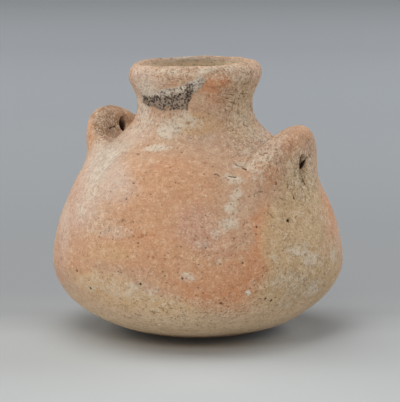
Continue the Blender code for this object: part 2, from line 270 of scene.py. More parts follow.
# Each lug is a curved fin whose top falls gently to one foot and steeply to the other
lugs = {
    "thickness": 9.0,
    "footThickness": 9.8,
    "halfSpan": 22.0,
    "drop": 15.0,
    "gentlePower": 2.45,
    "steepPower": 3.5,
    "root": 45.0,
    "rootDepth": 2.2,  # how far a lug runs into the wall
    "flare": 3.0,
    "flareTop": 76.0,
    "flareFall": 6.0,
    "outerFillet": 3.0,
    "innerFillet": 1.6,
    "filletFade": (-3, 6),  # from the inner fillet to the outer one, across the fin
    "holeSize": 3.6,
    "holeSlope": 46,
    "holeReach": 14,
    "holeEdge": 0.8,
    "holeFlare": 0.5,
    "holeFlareFade": (4.2, 3.2),
    "groove": (1.6, 2.5, 5.5),
    "grooveEdge": 1.4,
    "zone": (18, 40, 62),  # they lie out from here, above here and nearer to the axis than this
    "sides": (
        {
            "side": 1,  # the right one in the picture
            "top": 80.2,
            "reach": 46.9,
            "bend": 36.0,
            "peak": 4.7,
            "hole": 71.2,
            "offset": 0.2,
            # the string hole is darkened inside with painted shade, and fill sets how far from the mouth it
            # starts
            "fill": 1.4,  # how deep earth hides the dark of the hole
        },
        {
            "side": -1,  # and the left one
            "top": 83.4,
            "reach": 43.3,
            "bend": 30.0,
            "peak": 3.0,
            "hole": 72.0,
            "offset": -1.6,
            "fill": -0.4,
        },
    ),
}
halfThick = lugs["thickness"] / 2


def softMin(a, b, width):  # the lesser of two distances, rounded where they meet
    share = np.maximum(width - np.abs(a - b), 0) / width
    return np.minimum(a, b) - share * share * width / 4


def boreOf(place):  # how far off its line and how far along it, from places measured at its middle
    tilt = math.radians(lugs["holeSlope"])
    way = np.array([math.cos(tilt), 0, -math.sin(tilt)])
    run = place @ way
    return np.linalg.norm(place - run[:, None] * way, axis=1), run


def withLug(points, clay, filled, lug):  # the clay with a lug, its string hole and the groove below it
    x, y = points[:, 0] * lug["side"], points[:, 1] * lug["side"]
    z = points[:, 2]
    centre, middle = lug["reach"] - lug["bend"], lug["bend"] - halfThick
    angle = np.arctan2(y, np.maximum(x - centre, 0.1))
    out = np.hypot(x - centre, y) - middle
    across = lug["bend"] * np.sin(angle) - lug["peak"]
    gentle = across < 0
    span = np.where(gentle, lugs["halfSpan"] + lug["peak"], lugs["halfSpan"] - lug["peak"])
    power = np.where(gentle, lugs["gentlePower"], lugs["steepPower"])
    share = np.clip(np.abs(across) / span, 0, 1.5)
    ridge = lug["top"] - lugs["drop"] * share**power
    slope = lugs["drop"] * power * share ** (power - 1) / span
    half = (lugs["thickness"] + (lugs["footThickness"] - lugs["thickness"]) * share) / 2
    flare = lugs["flare"] * np.clip((lugs["flareTop"] - z) / lugs["flareFall"], 0, 1) ** 2
    rise = np.maximum(z - ridge + half, 0) / np.sqrt(1 + slope * slope)
    fin = np.hypot(np.where(out < 0, np.minimum(out + flare, 0), out), rise) - half
    fin = np.maximum(fin, lugs["root"] - z)
    fin = np.maximum(fin, -filled - lugs["rootDepth"])
    fade = fadeIn(out, *lugs["filletFade"])
    fillet = lugs["innerFillet"] + (lugs["outerFillet"] - lugs["innerFillet"]) * fade
    joined = softMin(clay, fin, fillet)
    place = np.stack([x - (lug["reach"] - halfThick), y - lug["offset"], z - lug["hole"]], axis=1)
    off, run = boreOf(place)
    bore = lugs["holeSize"] / 2 + lugs["holeFlare"] * fadeIn(np.abs(run), *lugs["holeFlareFade"])
    hole = np.maximum(off - bore, np.abs(run) - lugs["holeReach"])
    joined = -softMin(-joined, hole, lugs["holeEdge"])
    mouth = lug["hole"] - halfThick * math.tan(math.radians(lugs["holeSlope"]))
    sizes = np.array(lugs["groove"])
    local = np.stack([x - lug["reach"], y - lug["offset"], z - mouth + sizes[2] / 2], axis=1)
    share = np.linalg.norm(local / sizes, axis=1)
    groove = share * (share - 1) / np.maximum(np.linalg.norm(local / sizes**2, axis=1), 1e-6)
    return -softMin(-joined, groove, lugs["grooveEdge"])


def clayField(points):
    level = uprighted(points)
    clay, filled = lookUp(wallTable, level), lookUp(filledTable, level)
    out, above, within = lugs["zone"]
    zone = (level[:, 2] > above) & (np.hypot(level[:, 0], level[:, 1]) < within)
    for lug in lugs["sides"]:
        near = zone & (level[:, 0] * lug["side"] > out)
        clay[near] = withLug(level[near], clay[near], filled[near], lug)
    near = np.abs(clay) < pot["unevenWithin"]
    rough = np.zeros(near.sum())
    for seed, (size, depth) in enumerate(pot["unevenness"]):
        rough += depth * softNoise(points[near], pot["unevenSeed"] + seed, size)
    clay[near] += rough * fadeIn(points[near, 2], *pot["evenFoot"])
    return clay


def gridPlaces(low, high, step):
    ticks = [np.arange(a, b + step, step) for a, b in zip(low, high)]
    return np.stack(np.meshgrid(*ticks, indexing="ij"), axis=-1)


def surfaceNet(low, step, values):  # a quad mesh of where the values of a grid pass through zero
    counts = values.shape
    inside = values < 0
    corners = [np.array((i, j, k)) for i in (0, 1) for j in (0, 1) for k in (0, 1)]
    filled = np.zeros([n - 1 for n in counts], dtype=int)
    for i, j, k in corners:
        filled += inside[i : counts[0] - 1 + i, j : counts[1] - 1 + j, k : counts[2] - 1 + k]
    active = (filled > 0) & (filled < 8)
    cells = np.argwhere(active)
    number = np.full(active.shape, -1)
    number[active] = np.arange(len(cells))
    total, hits = np.zeros((len(cells), 3)), np.zeros(len(cells))
    for corner in corners:
        for axis in range(3):
            if corner[axis]:
                continue
            other = corner.copy()
            other[axis] = 1
            a, b = values[tuple((cells + corner).T)], values[tuple((cells + other).T)]
            cut = (a < 0) != (b < 0)
            place = (cells + corner)[cut].astype(float)
            place[:, axis] += a[cut] / (a[cut] - b[cut])
            total[cut] += place
            hits += cut
    points = np.array(low) + step * total / hits[:, None]
    quads = []
    for axis in range(3):
        v, w = np.eye(3, dtype=int)[(axis + 1) % 3], np.eye(3, dtype=int)[(axis + 2) % 3]
        first = np.take(inside, range(counts[axis] - 1), axis)
        edges = np.argwhere(first != np.take(inside, range(1, counts[axis]), axis))
        for way in (v, w):
            along = edges @ way
            edges = edges[(along > 0) & (along <= (np.array(counts) - 2) @ way)]
        ring = [number[tuple((edges + shift).T)] for shift in (-v - w, -w, 0 * v, -v)]
        faces = np.stack(ring, axis=1)
        flipped = ~first[tuple(edges.T)]
        faces[flipped] = faces[flipped, ::-1]
        quads.append(faces)
    return points, np.concatenate(quads)


def slopeOf(field, points, reach=0.12):  # how steeply the field rises along each axis
    slope = np.empty_like(points)
    for axis, step in enumerate(np.eye(3) * reach):
        slope[:, axis] = (field(points + step) - field(points - step)) / (2 * reach)
    return slope


def wayOut(field, points, reach=0.12):  # unit lengths, straight out of the shape
    slope = slopeOf(field, points, reach)
    return slope / np.maximum(np.linalg.norm(slope, axis=1), 1e-6)[:, None]


def settled(points, field, rounds=2, furthest=0.8):  # moved onto the field's zero
    for _ in range(rounds):
        slope = slopeOf(field, points)
        move = slope * (field(points) / np.maximum((slope**2).sum(axis=1), 0.2))[:, None]
        size = np.linalg.norm(move, axis=1)[:, None]
        points = points - move * np.minimum(1, furthest / np.maximum(size, 1e-9))
    return points


def evened(points, faces, field, rounds=3, share=0.6):  # slid along the surface to even out the faces
    pairs = np.concatenate([faces[:, [i, (i + 1) % faces.shape[1]]] for i in range(faces.shape[1])])
    ends = np.concatenate([pairs, pairs[:, ::-1]])
    count = np.bincount(ends[:, 0], minlength=len(points))[:, None]
    for _ in range(rounds):
        sums = [np.bincount(ends[:, 0], points[ends[:, 1], i], len(points)) for i in range(3)]
        move = np.stack(sums, axis=1) / count - points
        out = wayOut(field, points)
        move -= out * (move * out).sum(axis=1)[:, None]
        points = settled(points + share * move, field, 1)
    return points


clayStep = 1.15
clayLow, clayHigh = (-59, -59, -3), (59, 59, 105)
places = gridPlaces(clayLow, clayHigh, clayStep)
clayValues = clayField(places.reshape(-1, 3)).reshape(places.shape[:3])
clayPoints, clayFaces = surfaceNet(clayLow, clayStep, clayValues)
clayPoints = evened(settled(clayPoints, clayField), clayFaces, clayField)
print("clay meshed:", len(clayPoints), "points")
clayTree = BVHTree.FromPolygons(clayPoints.tolist(), clayFaces.tolist())


def placeSeen(x, y):  # the spot on the clay that the picture shows there
    spot = clayTree.ray_cast(Vector(eye), Vector(sightLine(x, y)))[0]
    if spot is None:
        raise ValueError(f"no clay is seen at {x}, {y}")
    return np.array(spot)


# Pits and slits where grit fell out and chaff burned away, by where the picture shows them
marks = {
    "pits": (  # across, down, radius, depth
        (288.7, 220.5, 0.75, 0.9),
        (294.5, 197.6, 0.55, 0.9),
        (288.7, 186.7, 0.50, 0.8),
        (276.6, 184.0, 0.45, 0.5),
        (76.3, 271.0, 0.62, 0.8),
        (90.0, 288.6, 0.60, 0.7),
        (140.0, 284.5, 0.55, 0.8),
        (126.0, 198.8, 0.42, 0.6),
        (182.0, 152.0, 0.40, 0.6),
        (221.0, 303.7, 0.50, 0.6),
        (243.0, 263.0, 0.45, 0.5),
        (138.0, 243.0, 0.40, 0.5),
        (102.0, 273.0, 0.36, 0.5),
        (133.5, 183.0, 0.40, 0.5),
        (257.0, 226.7, 0.46, 0.5),
        (326.7, 213.5, 0.40, 0.5),
        (308.5, 140.5, 0.45, 0.6),
        (313.0, 176.5, 0.40, 0.5),
        (184.0, 118.0, 0.36, 0.5),
        (233.0, 130.0, 0.36, 0.5),
        (266.0, 299.0, 0.55, 0.7),
        (271.6, 301.0, 0.60, 0.8),
        (276.0, 298.0, 0.40, 0.5),
        (182.5, 279.0, 0.40, 0.5),
        (165.0, 276.0, 0.36, 0.4),
        (142.0, 300.0, 0.36, 0.5),
        (230.5, 293.0, 0.34, 0.4),
        (232.0, 315.0, 0.36, 0.4),
        (304.0, 280.0, 0.34, 0.4),
        (256.5, 234.5, 0.34, 0.4),
        (263.0, 275.8, 0.40, 0.5),
        (264.7, 287.4, 0.34, 0.4),
        (216.3, 327.9, 0.38, 0.4),
        (324.7, 274.2, 0.28, 0.3),
        (324.7, 288.4, 0.30, 0.3),
        (292.6, 291.0, 0.30, 0.2),
        (139.0, 316.6, 0.34, 0.4),
        (159.0, 324.2, 0.36, 0.4),
        (178.2, 316.6, 0.30, 0.3),
        (187.8, 317.5, 0.32, 0.4),
        (184.0, 324.7, 0.30, 0.3),
        (248.7, 249.6, 0.28, 0.3),
        (237.0, 190.3, 0.32, 0.3),
        (242.0, 178.7, 0.30, 0.3),
        (251.8, 161.7, 0.36, 0.4),
        (310.7, 156.8, 0.34, 0.4),
        (298.2, 171.5, 0.42, 0.6),
        (295.5, 176.0, 0.34, 0.4),
        (304.4, 172.0, 0.34, 0.4),
        (175.4, 182.7, 0.34, 0.4),
        (106.5, 211.4, 0.30, 0.3),
        (102.2, 205.7, 0.28, 0.3),
        (165.8, 197.1, 0.30, 0.3),
        (99.8, 232.5, 0.32, 0.3),
        (64.4, 240.1, 0.34, 0.3),
        (79.2, 247.3, 0.28, 0.3),
        (153.3, 247.3, 0.28, 0.3),
        (95.0, 165.5, 0.30, 0.3),
        (107.4, 116.7, 0.45, 0.6),
        (109.4, 137.0, 0.42, 0.6),
        (104.0, 134.0, 0.32, 0.4),
        (104.5, 130.0, 0.30, 0.4),
        (115.4, 137.2, 0.30, 0.4),
        (121.6, 138.0, 0.30, 0.4),
        (106.0, 122.6, 0.28, 0.4),
        (117.6, 124.0, 0.26, 0.4),
        (180.8, 69.1, 0.32, 0.4),
        (187.9, 69.6, 0.30, 0.4),
        (138.2, 72.5, 0.26, 0.3),
        (157.8, 76.5, 0.28, 0.3),
        (251.1, 72.0, 0.50, 0.4),
        (249.2, 99.8, 0.34, 0.4),
        (251.6, 107.2, 0.42, 0.4),
        (227.7, 128.5, 0.30, 0.4),
        (181.0, 117.0, 0.30, 0.4),
        (238.7, 105.2, 0.30, 0.4),
        (226.4, 91.0, 0.34, 0.4),
        (233.9, 92.3, 0.34, 0.4),
        (243.5, 86.0, 0.30, 0.3),
        (242.0, 114.0, 0.30, 0.3),
        (262.0, 140.0, 0.30, 0.3),
    ),
    "slits": (  # from, to, half width, depth
        (214.5, 174.3, 217.0, 173.6, 0.24, 0.5),
        (217.0, 173.6, 219.5, 176.3, 0.24, 0.5),
        (152.0, 312.0, 158.5, 313.4, 0.30, 0.5),
        (151.0, 314.6, 156.5, 315.6, 0.20, 0.4),
        (236.0, 164.0, 243.0, 166.0, 0.42, 0.7),
        (229.0, 176.0, 236.0, 177.0, 0.32, 0.5),
        (303.0, 179.0, 305.5, 184.5, 0.30, 0.5),
        (305.5, 184.5, 309.0, 190.5, 0.28, 0.5),
        (305.8, 195.0, 305.7, 202.3, 0.24, 0.5),
        (301.6, 164.4, 306.8, 158.0, 0.66, 1.5),
        (300.6, 168.0, 303.0, 164.8, 0.45, 0.9),
        (296.6, 168.6, 300.8, 161.0, 0.30, 0.6),
        (298.2, 170.4, 299.8, 173.6, 0.34, 0.6),
        (294.6, 174.6, 295.6, 169.6, 0.24, 0.4),
        (309.5, 155.0, 310.8, 157.8, 0.30, 0.5),
        (310.2, 163.0, 310.6, 165.4, 0.24, 0.4),
        (306.8, 170.4, 308.4, 171.6, 0.26, 0.4),
        (304.6, 176.4, 305.8, 179.4, 0.16, 0.3),
        (279.5, 198.0, 283.0, 199.6, 0.20, 0.3),
        (283.0, 199.6, 285.6, 205.0, 0.16, 0.3),
        (268.0, 212.2, 274.0, 218.2, 0.20, 0.3),
        (254.0, 195.0, 258.5, 192.0, 0.18, 0.3),
        (258.5, 192.0, 263.0, 191.0, 0.16, 0.3),
        (109.6, 128.4, 115.6, 126.4, 0.42, 0.6),
        (122.0, 129.8, 131.0, 128.4, 0.40, 0.7),
        (118.6, 133.8, 124.6, 131.8, 0.20, 0.3),
        (166.5, 108.0, 162.6, 113.0, 0.16, 0.2),
        (147.4, 104.5, 145.8, 108.5, 0.14, 0.2),
        (117.8, 122.0, 118.4, 125.0, 0.22, 0.4),
        (137.2, 81.6, 139.5, 86.0, 0.26, 0.4),
        (139.5, 86.0, 143.0, 88.5, 0.24, 0.4),
        (168.7, 308.0, 176.3, 309.4, 0.22, 0.5),
        (159.0, 289.3, 158.0, 291.4, 0.18, 0.3),
        (177.0, 182.8, 187.0, 183.3, 0.14, 0.3),
        (121.0, 222.0, 123.0, 219.5, 0.22, 0.35),
        (123.0, 219.5, 126.0, 222.0, 0.20, 0.35),
        (243.2, 226.6, 245.4, 222.3, 0.18, 0.3),
        (226.2, 98.6, 239.6, 98.9, 0.26, 0.4),
        (229.0, 94.5, 234.0, 95.2, 0.22, 0.35),
        (231.0, 102.5, 236.0, 104.0, 0.22, 0.35),
        (243.5, 124.0, 248.0, 127.0, 0.22, 0.35),
        (249.0, 130.0, 254.0, 134.5, 0.22, 0.35),
        (256.0, 138.0, 262.0, 141.5, 0.22, 0.35),
        (247.0, 141.0, 252.0, 143.0, 0.20, 0.35),
        (256.0, 150.5, 261.5, 152.5, 0.24, 0.40),
        (225.5, 106.0, 230.0, 106.6, 0.20, 0.3),
        (240.5, 93.5, 244.5, 94.0, 0.20, 0.3),
        (242.0, 167.5, 246.0, 169.5, 0.36, 0.6),
    ),
    "folds": (  # faint creases: from, to, half width
        (159.0, 82.9, 164.0, 85.2, 0.30),
        (164.0, 85.2, 171.0, 84.8, 0.32),
        (171.0, 84.8, 179.0, 85.6, 0.26),
        (207.0, 86.2, 213.0, 87.8, 0.50),
        (213.0, 87.8, 221.0, 87.0, 0.55),
        (221.0, 87.0, 228.0, 83.5, 0.40),
        (120.0, 315.0, 128.0, 317.0, 0.20),
    ),
    "rust": (  # reddish spots: across, down, radius
        (142.0, 236.0, 1.0),
        (138.5, 237.5, 0.6),
        (146.0, 235.2, 0.5),
        (153.0, 257.0, 0.55),
        (148.6, 256.6, 0.45),
        (164.8, 255.5, 0.45),
        (165.0, 259.0, 0.45),
        (148.0, 145.4, 0.60),
        (153.8, 138.7, 0.45),
        (170.2, 167.4, 0.50),
        (178.2, 168.4, 0.40),
        (188.4, 123.2, 0.65),
        (263.2, 267.9, 0.60),
        (267.0, 271.0, 0.55),
        (131.0, 230.0, 0.50),
        (127.0, 231.5, 0.45),
        (247.0, 222.0, 0.40),
        (222.0, 304.0, 0.60),
        (182.0, 278.0, 0.60),
        (252.0, 74.0, 0.60),
        (158.0, 77.0, 0.45),
    ),
    "pale": (  # white inclusions: across, down, radius
        (248.3, 291.6, 0.85),
        (249.8, 293.0, 0.60),
        (118.0, 231.5, 0.45),
        (231.6, 313.6, 0.45),
        (206.2, 61.0, 0.42),
        (196.0, 60.2, 0.34),
        (217.5, 61.5, 0.34),
        (173.0, 61.6, 0.30),
        (164.8, 90.9, 0.36),
        (170.2, 92.0, 0.40),
        (233.5, 141.0, 0.36),
        (262.5, 128.0, 0.40),
        (268.5, 137.5, 0.34),
        (248.0, 116.5, 0.36),
        (186.0, 61.0, 0.36),
        (163.8, 91.2, 0.42),
        (206.0, 196.0, 0.40),
        (206.0, 219.0, 0.36),
        (141.0, 144.5, 0.42),
        (143.0, 136.3, 0.42),
    ),
    "radiusShare": {"pits": 0.85, "slits": 0.8, "folds": 1, "rust": 1, "pale": 0.9},
    "strength": {"pits": 0.35, "slits": 0.45, "folds": 0.45, "rust": 0.65, "pale": 0.7},
    "depth": {"rust": 0.08, "pale": -0.10},
    "foldDepthShare": 0.5,
    "deepest": 1.6,  # where several of them meet
    "edgePower": 5,
}
scattered = {  # small pits and reddish spots all over the outside
    "count": 240,
    "seed": 11,
    "under": 0.8,  # the outside is all that lies less deep in the filled pot
    "radii": (0.16, 0.34),
    "pitShare": 0.7,
    "depthShares": (0.8, 1.5),
    "strengths": (0.2, 0.8),
}
digs = []  # each is two ends, radius, depth, layer and strength


def dig(kind, ends, radius, depth, layer, stronger=0):  # a mark whose ends are given in the picture
    spots = placeSeen(*ends[:2]), placeSeen(*ends[-2:])
    strength = min(1, marks["strength"][kind] + stronger)
    digs.append((*spots, radius * marks["radiusShare"][kind], depth, layer, strength))


# pits and slits are dug in, and their layer darkens them with painted shade
for kind in ("pits", "slits"):
    for *ends, radius, depth in marks[kind]:
        dig(kind, ends, radius, depth, "pit", radius)
# creases are dug in and darkened with painted shade, in the layer of the reddish spots
for *ends, radius in marks["folds"]:
    dig("folds", ends, radius, radius * marks["foldDepthShare"], "rust")
for kind in ("rust", "pale"):
    for *ends, radius in marks[kind]:
        dig(kind, ends, radius, marks["depth"][kind], kind)
draw = np.random.default_rng(scattered["seed"])
outside = lookUp(filledTable, uprighted(clayPoints)) > -scattered["under"]
# most are small pits, darkened with painted shade; the others are reddish spots
for i in draw.choice(np.flatnonzero(outside), scattered["count"], replace=False):
    radius = draw.uniform(*scattered["radii"])
    layer = "pit" if draw.uniform() < scattered["pitShare"] else "rust"
    depth = radius * draw.uniform(*scattered["depthShares"])
    strength = draw.uniform(*scattered["strengths"])
    digs.append((clayPoints[i], clayPoints[i], radius, depth, layer, strength))


def digDistance(points, start, end):
    run = end - start
    share = np.clip((points - start) @ run / max(run @ run, 1e-9), 0, 1)
    return np.linalg.norm(points - start - share[:, None] * run, axis=1)


def closeToDigs(points, margin):  # which points lie near any of them
    near = np.zeros(len(points), dtype=bool)
    for start, end, radius, *_ in digs:
        reach = radius + margin
        low, high = np.minimum(start, end) - reach, np.maximum(start, end) + reach
        close = np.flatnonzero(((points > low) & (points < high)).all(axis=1))
        near[close] |= digDistance(points[close], start, end) < reach
    return near


def refine(shape, chosen):  # splits the edges whose two ends are chosen, and settles the new points
    edges = [edge for edge in shape.edges if all(chosen[vert.index] for vert in edge.verts)]
    bmesh.ops.subdivide_edges(shape, edges=edges, cuts=1, use_grid_fill=True, use_single_edge=True)
    shape.verts.index_update()
    points = np.array([vert.co for vert in shape.verts])
    points[len(chosen) :] = settled(points[len(chosen) :], clayField, 1)
    for vert, point in zip(shape.verts, points):
        vert.co = point
    return points


refining = {  # how near a mark or a lug's hole the mesh is made finer, once and twice
    "once": 1.0,
    "twice": 0.55,
    "holes": 12,
}
clayShape = bmesh.new()
for point in clayPoints:
    clayShape.verts.new(point)
clayShape.verts.ensure_lookup_table()
for face in clayFaces:
    clayShape.faces.new([clayShape.verts[i] for i in face])
clayShape.verts.index_update()
points = clayPoints
chosen = closeToDigs(points, refining["once"])
for lug in lugs["sides"]:
    spot = (lug["side"] * lug["reach"], lug["side"] * lug["offset"], lug["hole"] - halfThick)
    chosen |= np.linalg.norm(points - spot, axis=1) < refining["holes"]
points = refine(clayShape, chosen)
points = refine(clayShape, closeToDigs(points, refining["twice"]))
bmesh.ops.triangulate(clayShape, faces=clayShape.faces)
clayTriangles = np.array([[vert.index for vert in face.verts] for face in clayShape.faces])
clayShape.free()
normals = wayOut(clayField, points)
layers = {kind: np.zeros(len(points)) for kind in ("pit", "rust", "pale")}
sunk = np.zeros(len(points))
for start, end, radius, depth, layer, strength in digs:
    share = 1 / (1 + (digDistance(points, start, end) / radius) ** marks["edgePower"])
    layers[layer] = np.maximum(layers[layer], share * strength)
    sunk += share * depth
clayMade = points - normals * np.minimum(sunk, marks["deepest"])[:, None]

# Where the clay changes, and where painted light and shade lie: a start or an end, and the length over which
# it comes or goes
reaches = {
    # the inside, pale clay made paler still with painted light
    "inner": (0.6, 2.5),  # into the clay from the outside
    # the low band of the belly, painted paler: pale dust and painted light
    "under": (24, 19),  # up from the ground, as the next two
    "underFoot": (0.5, 3),
    # the foot's lowest few millimetres take painted shade
    "baseShade": (4.5, 3.0),
    # the next three: where the string holes are darkened inside with painted shade
    "boreEnd": 1.6,
    "boreRun": 8,
    "boreSide": (2.0, 0.7),
}
level = uprighted(points)
height = points[:, 2]
# the inside of the mouth is paler than the outside clay, and made paler still as painted light for the light
# bounced into it
layers["inner"] = fadeIn(-lookUp(filledTable, level), *reaches["inner"])
# the low band of the belly is painted paler, partly for pale dust and partly as painted light on a side that
# lies in shade
layers["under"] = fadeOut(height, *reaches["under"]) * fadeIn(height, *reaches["underFoot"])
# painted shade on the foot's lowest few millimetres, darker towards the ground, so that it bounces less
# light onto the floor
layers["baseShade"] = fadeOut(height, *reaches["baseShade"])
# the string holes are darkened inside: painted shade, deepest inside and kept off their mouths
layers["bore"] = np.zeros(len(points))
for lug in lugs["sides"]:
    place = level * (lug["side"], lug["side"], 1) - (lug["reach"] - halfThick, lug["offset"], lug["hole"])
    off, run = boreOf(place)
    deep = fadeOut(np.abs(place[:, 0]), halfThick - lug["fill"], reaches["boreEnd"])
    deep = deep * (np.abs(run) < reaches["boreRun"]) * (1 - fadeIn(off, *reaches["boreSide"]))
    layers["bore"] = np.maximum(layers["bore"], deep)
print("clay marked:", len(clayMade), "points", len(clayTriangles), "triangles")


